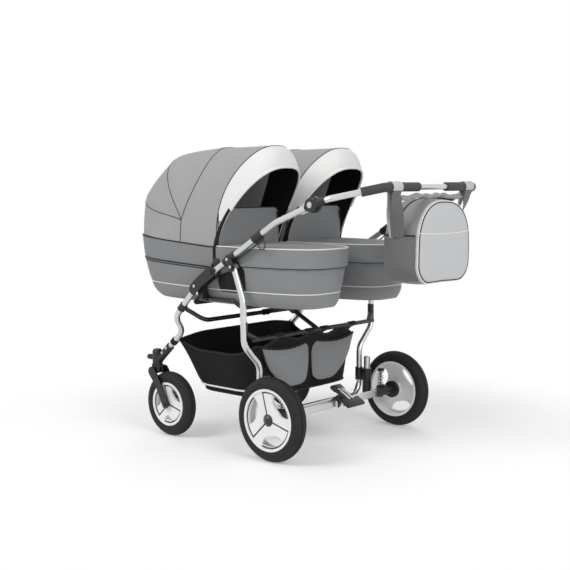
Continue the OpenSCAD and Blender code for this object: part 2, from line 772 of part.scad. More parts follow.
// Cross tube between the rear legs, with its clamps and the strut up to the centre link
module rear_cross_tube() {
    clamp_z = [rear_tube_z + 5, rear_tube_z + 62];
    clamp_y = -leg_low_ahead - 2;
    strut_low = rear_tube_p + [0, 6];
    strut_dir = unit(link_rear_p - strut_low);
    color(black) pram() {
        rod(at(rear_tube_p, 20 - rail_x), at(rear_tube_p, rail_x - 20), brace_r);
        for (s = [0, 1]) mirror([s, 0, 0]) {
            difference() {
                union() {
                    translate([rail_x, clamp_y, clamp_z[0]])
                        cylinder(r = frame_r + 3, h = clamp_z[1] - clamp_z[0]);
                    rod(at(rear_tube_p, rail_x - 46), [rail_x - 4, clamp_y, clamp_z[0] + 22], brace_r + 2);
                }
                bent_tube(rear_leg_path, leg_bend, frame_r + run_fit);
                translate([rail_x - 2, clamp_y - 40, clamp_z[0] - 20])
                    cube([40, 80, clamp_z[1] - clamp_z[0] + 40]);
            }
            link_plate(8.5, 12.5, link_rear_p, 8, link_rear_p - 26 * strut_dir, 8);
        }
        rod(at(strut_low, 0), at(link_rear_p - 18 * strut_dir, 0), brace_r);
        link_plate(-12.5, 12.5, link_rear_p - 24 * strut_dir, 8, link_rear_p - 34 * strut_dir, 8);
        disc(link_rear_p, -14, 14, 4);
    }
}

// Link from the front cross tube to the top of the centre strut
module centre_link() {
    color(black) pram() difference() {
        link_plate(-8, 8, link_front_p, 7, link_rear_p, 7);
        for (p = [link_front_p, link_rear_p]) disc(p, -9, 9, 4 + run_fit);
    }
}

// Bracket on a rear leg, with the damper, the foot and the pillar of the spring
module suspension(side) {
    low = axle_z - 25;
    high = axle_z + 78;
    damper_y = -leg_low_ahead + 38;
    foot = 8.5;
    clamp = axle_z + 30;
    on_side(side) {
        color(charcoal) difference() {
            union() {
                translate([leg_low_x, -leg_low_ahead, clamp]) cylinder(r = frame_r + 4, h = high - clamp);
                translate([leg_low_x, damper_y, low]) cylinder(r = 17, h = high - low);
                translate([leg_low_x - 9, -leg_low_ahead, clamp]) cube([18, 38, high - clamp - 12]);
                translate([leg_low_x - 9, damper_y, low]) cube([18, pillar_y - damper_y + 2, foot]);
                translate([leg_low_x, pillar_y, low]) cylinder(r = 9, h = foot);
            }
            translate([leg_low_x, -leg_low_ahead, low - 40]) cylinder(r = frame_r + run_fit, h = high);
        }
        color(silver) {
            translate([leg_low_x, damper_y, high]) cylinder(r = 12.5, h = 44);
            translate([leg_low_x, damper_y, high + 44]) cylinder(r1 = 12.5, r2 = 9, h = 4);
            translate([leg_low_x, pillar_y, low + 1]) cylinder(r = pillar_r, h = lug_top + spring_h - low + 6);
        }
        color(black) translate([leg_low_x, pillar_y, lug_top + spring_h + 0.2]) {
            cylinder(r = spring_r + spring_wire / 2 + 1.5, h = 5);
            translate([0, 0, 5]) cylinder(r1 = spring_r + 3, r2 = spring_r - 1, h = 4);
        }
    }
}

// Coil spring on the pillar: one tube along a helix whose ends are wound flatter
function coil_point(u) = let (
        a = 360 * spring_turns * u,
        rise = spring_h - spring_wire - 0.4,
        ease = u - 0.045 * sin(720 * u)
    )
    [spring_r * cos(a), spring_r * sin(a), spring_wire / 2 + 0.2 + rise * ease];
coil_rings = spring_turns * 8;
coil_sides = 6;
function coil_ring(k) = let (
        u = k / coil_rings,
        ahead = coil_point(u + 0.001),
        p = coil_point(u),
        w = unit(ahead - p),
        out = unit([p[0], p[1], 0]),
        up = cross(out, w)
    )
    [for (i = [0:coil_sides - 1]) p + spring_wire / 2 * (cos(60 * i) * out + sin(60 * i) * up)];
coil_step = 1 / coil_rings;
coil_pitch = [for (k = [0:coil_rings - 8]) norm(coil_point((k + 8) * coil_step) - coil_point(k * coil_step))];
coil_gap = min(coil_pitch) - spring_wire;
echo(least_gap_between_curls = coil_gap);

module spring(side) {
    on_side(side) color(silver) translate([leg_low_x, pillar_y, lug_top])
        loft([for (k = [coil_rings:-1:0]) coil_ring(k)]);
}

// Rear axle

// Flat bar with round edges
module axle_beam() {
    half_len = leg_low_x - 44;
    half_h = 14;
    edge = 5;
    side = half_h - edge;
    color(silver) pram()
        link_plate(-half_len, half_len, [0, axle_z - side], edge, [0, axle_z + side], edge);
}

// Sleeves at the ends of the beam, with the lugs that ride on the pillars and the stubs for the wheels
module axle_sleeves() {
    start = leg_low_x - 56;
    stop = rear_x - rear_tyre_w / 2 + 4;
    sleeve_r = 15.5;
    disc_r = 32;
    stub_end = rear_x + rear_tyre_w * 0.37 - 1;
    for (side = [1, -1]) on_side(side) {
        color(black) difference() {
            union() {
                disc([0, axle_z], start, stop - 8, sleeve_r);
                disc([0, axle_z], stop - 12, stop, disc_r);
                link_plate(leg_low_x - 13, leg_low_x + 13,
                    [pillar_y, lug_top - 12], 12, [-4, lug_top - 14], 12);
            }
            link_plate(start - 1, leg_low_x - 44 + 0.1, [0, axle_z - 9], 5.05, [0, axle_z + 9], 5.05);
            translate([leg_low_x, pillar_y, axle_z - 40]) cylinder(r = pillar_r + run_fit, h = 100);
            disc([0, axle_z], stop - 30, stub_end + 9, axle_r);
            translate([0, 0, axle_z]) rotate([brake_turn, 0, 0])
                translate([stop - 14, 0, brake_r]) rotate([0, 90, 0]) cylinder(r = 3 + run_fit, h = 30);
        }
        color(silver) disc([0, axle_z], stop - 30, stub_end, axle_r);
    }
}

module brake_pin(side) {
    stop = rear_x - rear_tyre_w / 2 + 4;
    on_side(side) color(silver) translate([0, 0, axle_z]) rotate([brake_turn, 0, 0])
        translate([stop - 13.5, 0, brake_r]) rotate([0, 90, 0]) cylinder(r = 3, h = 13.5);
}

// Foot pedal on the axle beam, a broad tread with a light insert
module brake_pedal() {
    tread_a = [-14, axle_z + 58];
    tread_b = [80, axle_z + 4];
    w = 22;
    head_w = 46;
    cut = 14.4;
    color(black) pram() difference() {
        union() {
            link_plate(-w, w, tread_a, 5, tread_b, 5);
            link_plate(-head_w, head_w, tread_b - 32 * unit(tread_b - tread_a), 5.5, tread_b, 5.5);
            link_plate(-12, 12, pedal_p + [-15, -2], 7, pedal_p + [12, 2], 9);
            for (s = [-1, 1]) link_plate(s * 17 - 5, s * 17 + 5, [0, axle_z], 20, pedal_p, 12);
        }
        link_plate(-60, 60, [0, axle_z - 9], 5 + soft_gap, [0, axle_z + 9], 5 + soft_gap);
        link_plate(-60, 60, [0, axle_z], cut, [0, axle_z - 40], cut);
    }
}

// Carrycots

cot_ring_n = 56;
cot_h = cot_rim_z - cot_floor_z;
plan_power = 3.4;

// Half length and middle of a carrycot's plan at a height share h, foot end raked and head end rounded under
function cot_foot(h) = foot_behind - 0.23 * cot_h * (1 - h) - 16 * pow(1 - h, 8);
function cot_head(h) = -head_ahead + 5 + 0.24 * cot_h * (1 - h) + 46 * pow(1 - h, 6);
function cot_half(h) = cot_w / 2 - 15 * (1 - h) - 18 * pow(1 - h, 10);
function rim_lift(y) = let (mid = (cot_foot(1) + cot_head(1)) / 2)
    head_rise * max(0, min(1, (mid - y) / (mid + head_ahead)));
function plan_point(t, half, foot, head) = [
    half * signed_pow(cos(t), 2 / plan_power),
    (foot + head) / 2 + (foot - head) / 2 * signed_pow(sin(t), 2 / plan_power)
];
function cot_ring(h, inset) = [for (i = [0:cot_ring_n - 1])
    let (p = plan_point(360 * i / cot_ring_n, cot_half(h) - inset, cot_foot(h) - inset, cot_head(h) + inset))
    [cot_x + p[0], p[1], cot_floor_z + h * cot_h + max(0, h - 0.1) / 0.9 * rim_lift(p[1])]];

// Half width of the rim at a place along the pram
function rim_half(y) = let (
        mid = (cot_foot(1) + cot_head(1)) / 2,
        len = (cot_foot(1) - cot_head(1)) / 2
    )
    cot_w / 2 * pow(max(0, 1 - pow(abs(y - mid) / len, plan_power)), 1 / plan_power);

module tub(side) {
    floor_h = 10 / cot_h;
    hook = rail_x - frame_r - 0.5;
    on_side(side) color(body_grey) {
        loft(concat(
            [for (h = [0, 0.04, 0.14, 0.3, 0.65, 1]) cot_ring(h, 0)],
            [for (h = [1, 0.5, floor_h]) cot_ring(h, cot_wall)]
        ));
        translate([cot_x + cot_w / 2 - 10, fold_p[0] - 14, fold_p[1] + 20 + soft_gap])
            cube([hook - cot_x - cot_w / 2 + 10, 28, 26]);
    }
}

// Cushion: crowned top, drawn-in sides, between two values of y
function cushion_ring(half, foot, head, z, n) = [for (i = [0:n - 1])
    let (p = plan_point(360 * i / n, half, foot, head)) [cot_x + p[0], p[1], z]];
module cushion(half, foot, head, z, t, crown) {
    n = 32;
    steps = [[8, 0], [2, 0.16], [0, 0.4], [3, 0.72], [12, 1]];
    loft(concat(
        [for (s = steps) cushion_ring(half - s[0], foot - s[0], head + s[0], z + s[1] * t, n)],
        [for (k = [0.8, 0.5, 0.2]) cushion_ring(half * k, (foot + head) / 2 + (foot - head) / 2 * k,
            (foot + head) / 2 - (foot - head) / 2 * k, z + t + crown * (1 - k * k), n)]
    ));
}

module bedding(side) {
    floor_z = cot_floor_z + 10 + soft_gap;
    mattress_t = 40;
    half = cot_half(0.05) - cot_wall - 7;
    foot = cot_foot(0.05) - cot_wall - 12;
    head = cot_head(0.05) + cot_wall + 12;
    on_side(side) color(white) {
        cushion(half, foot, head, floor_z, mattress_t, 6);
        cushion(half - 22, head + 205, head + 25, floor_z + mattress_t + 4.6 + soft_gap, 26, 16);
    }
}

// Apron: a crowned cover on the foot half of the rim
apron_n = 26;
function apron_ring(inset, z) = concat(
    [[cot_x - rim_half(-apron_ahead + inset) + inset, -apron_ahead + inset * 0.7, z]],
    [for (i = [0:apron_n])
        let (
            t = -180 + 180 * i / apron_n,
            y0 = -apron_ahead + inset * 0.7,
            foot = cot_foot(1) - inset,
            y = y0 + (foot - y0) * (i == 0 || i == apron_n ? 0.02 : pow(abs(sin(t)), 0.62)),
            half = max(0.1, rim_half(y) - inset)
        )
        [cot_x + (cos(t) < -0.001 ? -half : (cos(t) > 0.001 ? half : 0)), y, z]],
    [[cot_x + rim_half(-apron_ahead + inset) - inset, -apron_ahead + inset * 0.7, z]]
);

module apron(side) {
    crown = 9;
    z = cot_rim_z + soft_gap;
    steps = [[3, 0], [0, 2.5], [2, 6]];
    on_side(side) color(body_grey) loft(concat(
        [for (s = steps) apron_ring(s[0], z + s[1])],
        [for (k = [20, 55, 95]) apron_ring(k, z + 6 + crown * (1 - pow(1 - k / 120, 2)))]
    ));
}

// Upright wind flap, hinged on the apron's front edge
module flap(side) {
    half = cot_w / 2 - 15;
    corner = 46;
    low = cot_rim_z + 2;
    high = low + flap_h + 4;
    cloth = 4;
    on_side(side) color(body_grey)
        translate([cot_x, -apron_ahead - 0.4, 0]) rotate([90, 0, 0]) linear_extrude(cloth) {
            translate([-half, low]) square([2 * half, high - low - corner]);
            translate([-half + corner, low]) square([2 * (half - corner), high - low]);
            for (s = [-1, 1]) translate([s * (half - corner), high - corner]) circle(r = corner);
        }
}

// Hood: arches from the rim over the top, from the head end to the visor's edge
hood_ridge = [-414, -143];
hood_peak = [-85, 995];
hood_power = 2.5;
hood_seam_y = -465;
hood_clear = 1.5;
arch_n = 20;
arch_power = 2.7;

// Top line of the hood at share q of its run: head curve, then ridge, then the visor's droop
function hood_crown(q) = q < 1
    ? [hood_ridge[0] - (head_ahead + hood_ridge[0]) * pow(cos(90 * q), 2 / hood_power),
        cot_rim_z + head_rise + (hood_top_z - cot_rim_z - head_rise) * pow(sin(90 * q), 2 / hood_power)]
    : q < 2
    ? [hood_ridge[0] + (hood_ridge[1] - hood_ridge[0]) * (q - 1), hood_top_z]
    : [hood_ridge[1] + (hood_peak[0] - hood_ridge[1]) * sin(90 * (q - 2)),
        hood_top_z - (hood_top_z - hood_peak[1]) * (1 - cos(90 * (q - 2)))];
// Place on the rim where the arch of share q stands
function hood_foot(q) = q < 1
    ? -head_ahead + 7 + (head_ahead + hood_seam_y - 7) * pow(q, 1.5)
    : hood_seam_y + (-apron_ahead - hood_clear - hood_seam_y) * (q - 1) / 2;
function hood_arch(q, inset, lift) = let (
        foot_y = hood_foot(q),
        top = hood_crown(q),
        half = max(20, rim_half(foot_y)) - 3 - inset,
        base_z = cot_rim_z + rim_lift(foot_y) + lift,
        top_z = top[1] - inset,
        top_y = top[0] + (q < 1 ? inset * cos(90 * q) : 0)
    )
    [for (i = [0:arch_n])
        let (
            t = 180 * i / arch_n,
            up = pow(sin(t), 2 / arch_power)
        )
        [cot_x + half * signed_pow(cos(t), 2 / arch_power), foot_y + (top_y - foot_y) * pow(up, 1.5),
            base_z + (top_z - base_z) * up]];

module hood_rear(side) {
    rows = [0.004, 0.03, 0.09, 0.17, 0.27, 0.4, 0.55, 0.72, 0.9, 1.05];
    on_side(side) color(hood_grey) sheet(
        [for (q = rows) hood_arch(q, 0, soft_gap)],
        [for (q = rows) hood_arch(q, hood_t, soft_gap)]
    );
}

module hood_front(side) {
    rows = [1.06, 1.3, 1.6, 2, 2.25, 2.5, 2.75, 3];
    on_side(side) color(hood_grey) sheet(
        [for (q = rows) hood_arch(q, 0, 0.6)],
        [for (q = rows) hood_arch(q, hood_t, 0.6)]
    );
}

front_leg(1);  // front_leg_left
front_leg(-1);  // front_leg_right
hinge_bracket(1);  // hinge_bracket_left
hinge_bracket(-1);  // hinge_bracket_right
front_cross_tube();
cot_cradle();
basket();
caster_housing(1);  // caster_housing_left
caster_housing(-1);  // caster_housing_right
swivel_lock(1);  // swivel_lock_left
swivel_lock(-1);  // swivel_lock_right
fork(1);  // fork_left
fork(-1);  // fork_right
front_tyre(1);  // front_tyre_left
front_tyre(-1);  // front_tyre_right
front_rim(1);  // front_rim_left
front_rim(-1);  // front_rim_right
side_rail(1);  // side_rail_left
side_rail(-1);  // side_rail_right
leg_bracket(1);  // leg_bracket_left
leg_bracket(-1);  // leg_bracket_right
fold_lock(1);  // fold_lock_left
fold_lock(-1);  // fold_lock_right
handle_bar();
handle_knuckle(1);  // handle_knuckle_left
handle_knuckle(-1);  // handle_knuckle_right
grip(1);  // grip_left
grip(-1);  // grip_right
handle_button(1);  // handle_button_left
handle_button(-1);  // handle_button_right
bag();
rear_legs();
rear_cross_tube();
centre_link();
suspension(1);  // suspension_left
suspension(-1);  // suspension_right
spring(1);  // spring_left
spring(-1);  // spring_right
axle_beam();
axle_sleeves();
brake_pedal();
brake_pin(1);  // brake_pin_left
brake_pin(-1);  // brake_pin_right
rear_tyre(1);  // rear_tyre_left
rear_tyre(-1);  // rear_tyre_right
rear_rim(1);  // rear_rim_left
rear_rim(-1);  // rear_rim_right
tub(1);  // tub_left
tub(-1);  // tub_right
bedding(1);  // bedding_left
bedding(-1);  // bedding_right
apron(1);  // apron_left
apron(-1);  // apron_right
flap(1);  // flap_left
flap(-1);  // flap_right
hood_rear(1);  // hood_rear_left
hood_rear(-1);  // hood_rear_right
hood_front(1);  // hood_front_left
hood_front(-1);  // hood_front_right
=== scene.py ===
import math

import bpy
from bpy.props import FloatProperty, FloatVectorProperty, PointerProperty
from mathutils import Matrix, Vector, noise
from mathutils.bvhtree import BVHTree


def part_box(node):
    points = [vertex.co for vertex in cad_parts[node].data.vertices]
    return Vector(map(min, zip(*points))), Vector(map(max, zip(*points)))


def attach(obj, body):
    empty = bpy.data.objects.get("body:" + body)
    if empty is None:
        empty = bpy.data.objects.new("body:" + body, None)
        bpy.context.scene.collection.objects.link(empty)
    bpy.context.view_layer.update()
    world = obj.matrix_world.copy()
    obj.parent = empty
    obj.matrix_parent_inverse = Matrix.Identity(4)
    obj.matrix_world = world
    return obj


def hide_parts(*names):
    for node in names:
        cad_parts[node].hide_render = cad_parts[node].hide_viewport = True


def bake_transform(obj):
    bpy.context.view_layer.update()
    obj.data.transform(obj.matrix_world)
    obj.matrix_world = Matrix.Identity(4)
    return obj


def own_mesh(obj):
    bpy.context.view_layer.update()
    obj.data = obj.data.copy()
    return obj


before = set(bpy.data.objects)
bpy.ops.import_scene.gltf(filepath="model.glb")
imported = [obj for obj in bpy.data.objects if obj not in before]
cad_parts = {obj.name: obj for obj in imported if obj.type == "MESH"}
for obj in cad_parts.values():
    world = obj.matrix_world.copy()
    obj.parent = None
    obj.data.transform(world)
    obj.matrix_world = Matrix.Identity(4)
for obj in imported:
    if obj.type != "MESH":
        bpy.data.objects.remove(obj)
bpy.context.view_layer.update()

bl_info = {
    "name": "Twin pram",
    "version": (1, 0, 0),
    "blender": (4, 5, 0),
    "location": "3D View > Sidebar > Pram",
    "description": "Soft goods, fittings and finishes of a twin pram, built round its CAD frame",
    "category": "Object",
}

# Sizes below are in millimetres, measured along the pram from the rear axle, as in the part's source.
MM = 0.001
SIDES = {"left": 1, "right": -1}
AXLE_LOW, AXLE_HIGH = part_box("axle_beam")
AXLE_Y = (AXLE_LOW.y + AXLE_HIGH.y) / 2

# Carrycots: plan, rim, and how the walls lean and tuck in towards the floor
COT_X, COT_W = 185.0, 326.0
COT_FLOOR, COT_RIM = 515.0, 716.0
COT_H = COT_RIM - COT_FLOOR
COT_WALL, COT_FLOOR_H = 8.0, 12.0
PLAN_POWER = 3.4
HEAD_AHEAD, HEAD_RISE, HEAD_EASE, HEAD_LEAN, HEAD_TUCK = 766.0, 29.0, 5.0, 0.24, 46.0
FOOT_BEHIND, FOOT_EASE, FOOT_LEAN, FOOT_TUCK = 130.0, 5.0, 0.14, 9.0
SIDE_LEAN, SIDE_TUCK = 15.0, 18.0

# Seams of the carrycots, as shares of their height, and how far the cloth swells between them
COT_PIPING = 0.254
COT_ZIPS = ((0.608, 1.2), (0.645, 1.9))
ZIP_END_Y, ZIP_END_LOW = -283.0, 0.56
LOW_PUFF, HIGH_PUFF, SEAM_DRAW, COT_WRINKLE = 1.6, 3.0, 1.2, 1.5

# Aprons and wind flaps
APRON_Y, APRON_MID_Y = -268.0, -70.0
APRON_LIFT, APRON_CROWN, APRON_WRINKLE = 3.0, 6.0, 1.8
SKIRT_DROP, SKIRT_FREE_Y = 64.0, -215.0
FLAP_Y, FLAP_Z, FLAP_H = -267.4, 718.5, 133.0
FLAP_HALF, FLAP_CORNER = 159.0, 30.0

# Hoods: crown, bows, visor and the dark strips at the visor's ends
HOOD_TOP = 1071.0
HOOD_RIDGE = (-414.0, -143.0)
HOOD_PEAK = (-85.0, 995.0)
HOOD_START_Y, HOOD_SEAM_Y = -767.0, -465.0
HOOD_POWER, ARCH_POWER = 2.25, 2.7
HOOD_CLEAR, HOOD_LIFT, HOOD_SPREAD, HOOD_DRAW = 1.5, 0.6, 3.5, 2.0
HOOD_PIVOT = (-456.0, 806.0)
HOOD_MIDDLE = (-416.0, 830.0)
HOOD_BOWS, BOW_BULGE = (69.0, 117.0, 162.0), (-4.0, 9.0, 7.0)
HOOD_REAR_TURN = 204.0
SAG_FROM, SAG_RISE = 50.0, 150.0
VISOR_LOW, STRIP_TOP = 808.0, 845.0
VISOR_FOOT, VISOR_REACH, VISOR_POWER = -275.0, 134.0, 2.2
VISOR_FROM, VISOR_SPAN = 760.0, 300.0

# Basket, with the tube and the leg clips that hold it
REAR_TUBE, BRACE_R = (-104.0, 403.0), 8.0
LEG_CLIP = (328.0, -513.5, 357.0)
LEG_DIR = Vector((0.0, 0.734, 0.679))
BASKET_W, BASKET_Z, BASKET_H = 600.0, 176.0, 204.0
BASKET_FRONT, BASKET_REAR = -500.0, -142.0
BASKET_RISE, BASKET_TAPER, BASKET_SWEEP, BASKET_DIP = 20.0, 38.0, 56.0, 50.0
BASKET_PLAN_FRONT, BASKET_PLAN_REAR = 0.26, 0.4
BASKET_PIPING, BASKET_PIPING_Y = 0.15, -172.0
BASKET_LOOPS, BASKET_WAVE = (43.0, 209.0), 166.0
POCKET_X, POCKET_Z = (8.0, 262.0), (204.0, 362.0)
POCKET_LIMIT_Y = -117.0

# Handle bar and bag
BAR, GRIP_R = (390.24, 928.07), 15.0
BAG_W, BAG_D, BAG_Z = 310.0, 140.0, 612.0
BAG_REAR = BAR[0] + BAG_D * 0.38
BAG_ARCH_Z = BAR[1] - 43 - BAG_W / 2
BAG_CORNER, BAG_ARCH_POWER = 70.0, 2.4
BAG_MID_Z, BAG_LINE_Z, BAG_LINE_X = 735.0, 780.0, 146.0
STRAP_X = 214.0
ROLL_HALF, ROLL_Z = 180.0, 899.0

# Handle pivots, dampers and springs
HANDLE_PIVOT, PIVOT_DISC_R = (180.93, 870.81), 30.5
DAMPER_Y, DAMPER_LOW = (-102.0, -70.0), 223.2
SPRING_X, SPRING_Y, SPRING_Z = 287.0, -20.0, 167.0
SPRING_H, SPRING_R, SPRING_WIRE, SPRING_TURNS = 54.0, 9.5, 3.2, 6

# Rivets, the carrycots' adapters with their pull loops, and the pedal's strips and moulded blocks
RIVET_R, RIVET_H = 5.2, 3.0
RIVETS = {
    "chassis": ((382.6, -352, 576), (382.6, -335, 551), (343.4, -568, 309), (343.4, -546, 329)),
    "push_frame": ((379.2, -192, 678), (383.6, -172, 653)),
}
ADAPTER_SIZE, ADAPTER_SPOT, ADAPTER_BEVEL = (14.5, 28.0, 26.0), (346.0, -272.0, 663.4), 3.5
LOOP_R, LOOP_WIRE_R, LOOP_SPOT, LOOP_LEAN = 13.5, 2.6, (349.8, -284.0, 646.0), -28.0
PEDAL_SLOPE, PEDAL_SPOT, PEDAL_BEVEL = -math.atan2(54, 94), (0.0, 33.0, 176.0), 5.6
PEDAL_BLOCKS = {
    "waist": ((46.0, 100.0, 12.5), 0.0),
    "knob": ((56.0, 30.0, 15.0), -44.0),
    "bar": ((94.0, 34.0, 15.5), 42.0),
}
STRIP_SIZE, STRIP_SPOT, STRIP_BEVEL = (11.0, 62.0, 2.2), (0.0, 30.0, 178.0), 0.9
STRIP_X, STRIP_LIFT = 9.5, 7.2

# Wheels: place of the axle, then the radius of the rim's lines and hub cap and the rim's half width
WHEELS = {
    "rear": {"axle": (361.0, 0.0, 145.0), "lines": (94.65, 21.2, 20.0)},
    "front": {"axle": (328.0, -534.0, 120.0), "lines": (68.65, 0.0, 17.7)},
}
SPOKE_TURN, RIM_ARC = 105.0, 92.0

# Camera: focal length and picture width in pixels, sensor, place and direction
FOCAL, PICTURE, SENSOR = 1048.7, 570.0, 36.0
CAMERA_SPOT = (2945.9, 2330.6, 949.6)
CAMERA_LOOK = (-0.74741, -0.65688, -0.09949)

# Lamps, each with its place in metres and its watts, and the strength of the surroundings as a light
LAMPS = {
    "key": ((3.2, -0.9, 3.0), 68.0),
    "fill": ((0.8, 3.8, 2.0), 64.0),
    "back": ((-2.6, -1.8, 2.8), 18.0),
}
LAMP_SIZE, SKY_LEVEL = 2.0, 0.44


def place(x, y, z):
    """Point in metres in the frame, from millimetres measured from the rear axle."""
    return Vector((x * MM, y * MM + AXLE_Y, z * MM))


def on_side(s, spot):
    """Point in metres of a place given for the left side, on side 1 or -1."""
    return place(s * spot[0], spot[1], spot[2])


def shares(count):
    """Even shares from 0 to 1."""
    return [i / count for i in range(count + 1)]


def hex_colour(code):
    """Linear colour of a screen colour such as #808080."""
    parts = [int(code[i:i + 2], 16) / 255 for i in (1, 3, 5)]
    return tuple(c / 12.92 if c < 0.0405 else ((c + 0.055) / 1.055) ** 2.4 for c in parts)


def power(v, e):
    return math.copysign(abs(v) ** e, v)


def clamp(v, low=0.0, high=1.0):
    return max(low, min(high, v))


def smooth(v):
    v = clamp(v)
    return v * v * (3 - 2 * v)


def ripple(p, scale, seed=0.0):
    """Soft bumps from -1 to 1 at a point in metres."""
    return noise.noise(p * scale + Vector((seed, seed * 1.7, -seed)))


# Sizes and colours that a user would change


def length_property(label, text, default, low, high):
    return FloatProperty(name=label, description=text, default=default, min=low, max=high, unit="LENGTH")


def colour_property(label, text, code):
    return FloatVectorProperty(
        name=label, description=text, subtype="COLOR", size=3, min=0.0, max=1.0, default=hex_colour(code))


class PramSizes(bpy.types.PropertyGroup):
    piping_r: length_property("Piping radius", "Radius of the light piping", 0.0018, 0.001, 0.005)
    seam_r: length_property("Seam radius", "Radius of the dark seams and zips", 0.0013, 0.0005, 0.004)
    hood_sag: length_property("Hood sag", "How far the hood falls in between its bows", 0.009, 0.0, 0.02)
    hem_r: length_property("Hem radius", "Radius of the rolled edge of the visor", 0.0045, 0.002, 0.008)
    strap_w: length_property("Bag strap width", "Width of the bag's straps", 0.044, 0.02, 0.05)


class PramColours(bpy.types.PropertyGroup):
    hood: colour_property("Hood", "Cloth of the hoods", "#aaaaaa")
    body: colour_property("Body", "Cloth of the carrycots and aprons", "#8b8d8f")
    bag: colour_property("Bag", "Cloth of the bag", "#cbccce")
    white: colour_property("White cloth", "Visors, piping and bedding", "#f2f2f0")
    lining: colour_property("Lining", "Inside of the hoods and carrycots", "#e2e3e5")
    black_cloth: colour_property("Black cloth", "Basket, straps and bindings", "#161617")
    silver: colour_property("Silver", "Legs, rails and handle tube", "#cfd1d3")
    black: colour_property("Black", "Castings, forks and cross tubes", "#141516")
    rubber: colour_property("Rubber", "Tyres", "#1c1c1d")
    leather: colour_property("Leather", "Grips", "#3a3b3d")


# Finishes


class Value:
    """One number of a finish. Sums on it add Math nodes."""

    def __init__(self, finish, socket):
        self.finish = finish
        self.socket = socket

    def math(self, operation, *others):
        sockets = dict(enumerate((self, *others)))
        return self.finish.node("ShaderNodeMath", {"operation": operation}, sockets)

    def __add__(self, other):
        return self.math("ADD", other)

    __radd__ = __add__

    def __sub__(self, other):
        return self.math("SUBTRACT", other)

    def __rsub__(self, other):
        return self.finish.node("ShaderNodeMath", {"operation": "SUBTRACT"}, {0: other, 1: self})

    def __mul__(self, other):
        return self.math("MULTIPLY", other)

    __rmul__ = __mul__

    def __truediv__(self, other):
        return self.math("DIVIDE", other)

    def __pow__(self, other):
        return self.math("POWER", other)

    def __abs__(self):
        return self.math("ABSOLUTE")

    def below(self, limit, soft):
        """1 where the value is under the limit, 0 over it, with a soft step."""
        return self.finish.node("ShaderNodeMapRange", {"clamp": True},
                                {0: self, 1: limit - soft, 2: limit + soft, 3: 1.0, 4: 0.0})

    def above(self, limit, soft):
        return 1 - self.below(limit, soft)


class Finish:
    """A material of nodes round one shader."""

    def __init__(self, name, **plain):
        self.material = bpy.data.materials.new(name)
        self.material.use_nodes = True
        self.tree = self.material.node_tree
        self.shader = self.tree.nodes["Principled BSDF"]
        for key, value in plain.items():
            socket = self.shader.inputs[key.replace("_", " ")]
            socket.default_value = (*value, 1.0) if isinstance(value, (tuple, list)) else value
        self.points = None

    def node(self, kind, settings, sockets, out=0):
        made = self.tree.nodes.new(kind)
        for key, value in settings.items():
            setattr(made, key, value)
        for key, value in sockets.items():
            if isinstance(value, Value):
                self.tree.links.new(value.socket, made.inputs[key])
            else:
                made.inputs[key].default_value = value
        return Value(self, made.outputs[out])

    def feed(self, name, value):
        self.tree.links.new(value.socket, self.shader.inputs[name])

    def where(self):
        if self.points is None:
            self.points = self.node("ShaderNodeTexCoord", {}, {}, "Object")
        return self.points

    def axes(self, vector):
        node = self.tree.nodes.new("ShaderNodeSeparateXYZ")
        self.tree.links.new(vector.socket, node.inputs[0])
        return [Value(self, s) for s in node.outputs]

    def speckle(self, scale, detail=2.0):
        sockets = {"Vector": self.where(), "Scale": scale, "Detail": detail}
        return self.node("ShaderNodeTexNoise", {}, sockets)

    def mix(self, share, first, second):
        colours = {6: first, 7: second}
        colours = {k: (*v, 1.0) if isinstance(v, tuple) else v for k, v in colours.items()}
        return self.node("ShaderNodeMix", {"data_type": "RGBA"}, {0: share, **colours}, 2)

    def bump(self, height, strength, distance):
        sockets = {"Height": height, "Strength": strength, "Distance": distance}
        self.feed("Normal", self.node("ShaderNodeBump", {}, sockets))


def tone(colour, share):
    return tuple(clamp(c * share) for c in colour)


def woven(name, colour, thread=0.0012, contrast=0.16, sheen=0.15, white=None, melange=0.5):
    """Cloth whose threads follow the piece's own UV map. White names the attribute of its white part."""
    f = Finish(name, Roughness=0.86, Sheen_Weight=sheen, Sheen_Roughness=0.45, Specular_IOR_Level=0.25)
    uv = f.node("ShaderNodeUVMap", {"uv_map": "cloth"}, {})
    u, v, _ = f.axes(uv)
    turn = 2 * math.pi / thread
    warp = (u * turn).math("SINE")
    weft = (v * turn).math("SINE")
    weave = (warp * weft) * 0.5 + 0.5
    fleck = f.speckle(1400.0, 1.0)
    cloud = f.speckle(14.0, 3.0)
    share = (weave * (1 - melange) + fleck * melange) * 0.8 + cloud * 0.2
    shade = f.mix(share, tone(colour, 1 - contrast), tone(colour, 1 + contrast))
    if white is not None:
        attribute, white_colour = white
        ahead = f.node("ShaderNodeAttribute", {"attribute_name": attribute}, {}, "Fac")
        plain = f.mix(share, tone(white_colour, 0.95), white_colour)
        shade = f.mix(ahead.above(0.0, 0.0004), shade, plain)
    f.feed("Base Color", shade)
    f.feed("Roughness", fleck * 0.16 + 0.76)
    f.bump(weave * 0.6 + f.speckle(320.0) * 0.6, 0.35, 0.0004)
    return f.material


def padded_cotton(name, colour):
    f = Finish(name, Roughness=0.9, Sheen_Weight=0.2, Specular_IOR_Level=0.2)
    fleck = f.speckle(900.0, 2.0)
    f.feed("Base Color", f.mix(fleck * 0.5 + f.speckle(20.0) * 0.5, tone(colour, 0.9), colour))
    f.feed("Roughness", fleck * 0.1 + 0.84)
    f.bump(f.speckle(500.0) + f.speckle(60.0) * 0.6, 0.4, 0.0006)
    return f.material


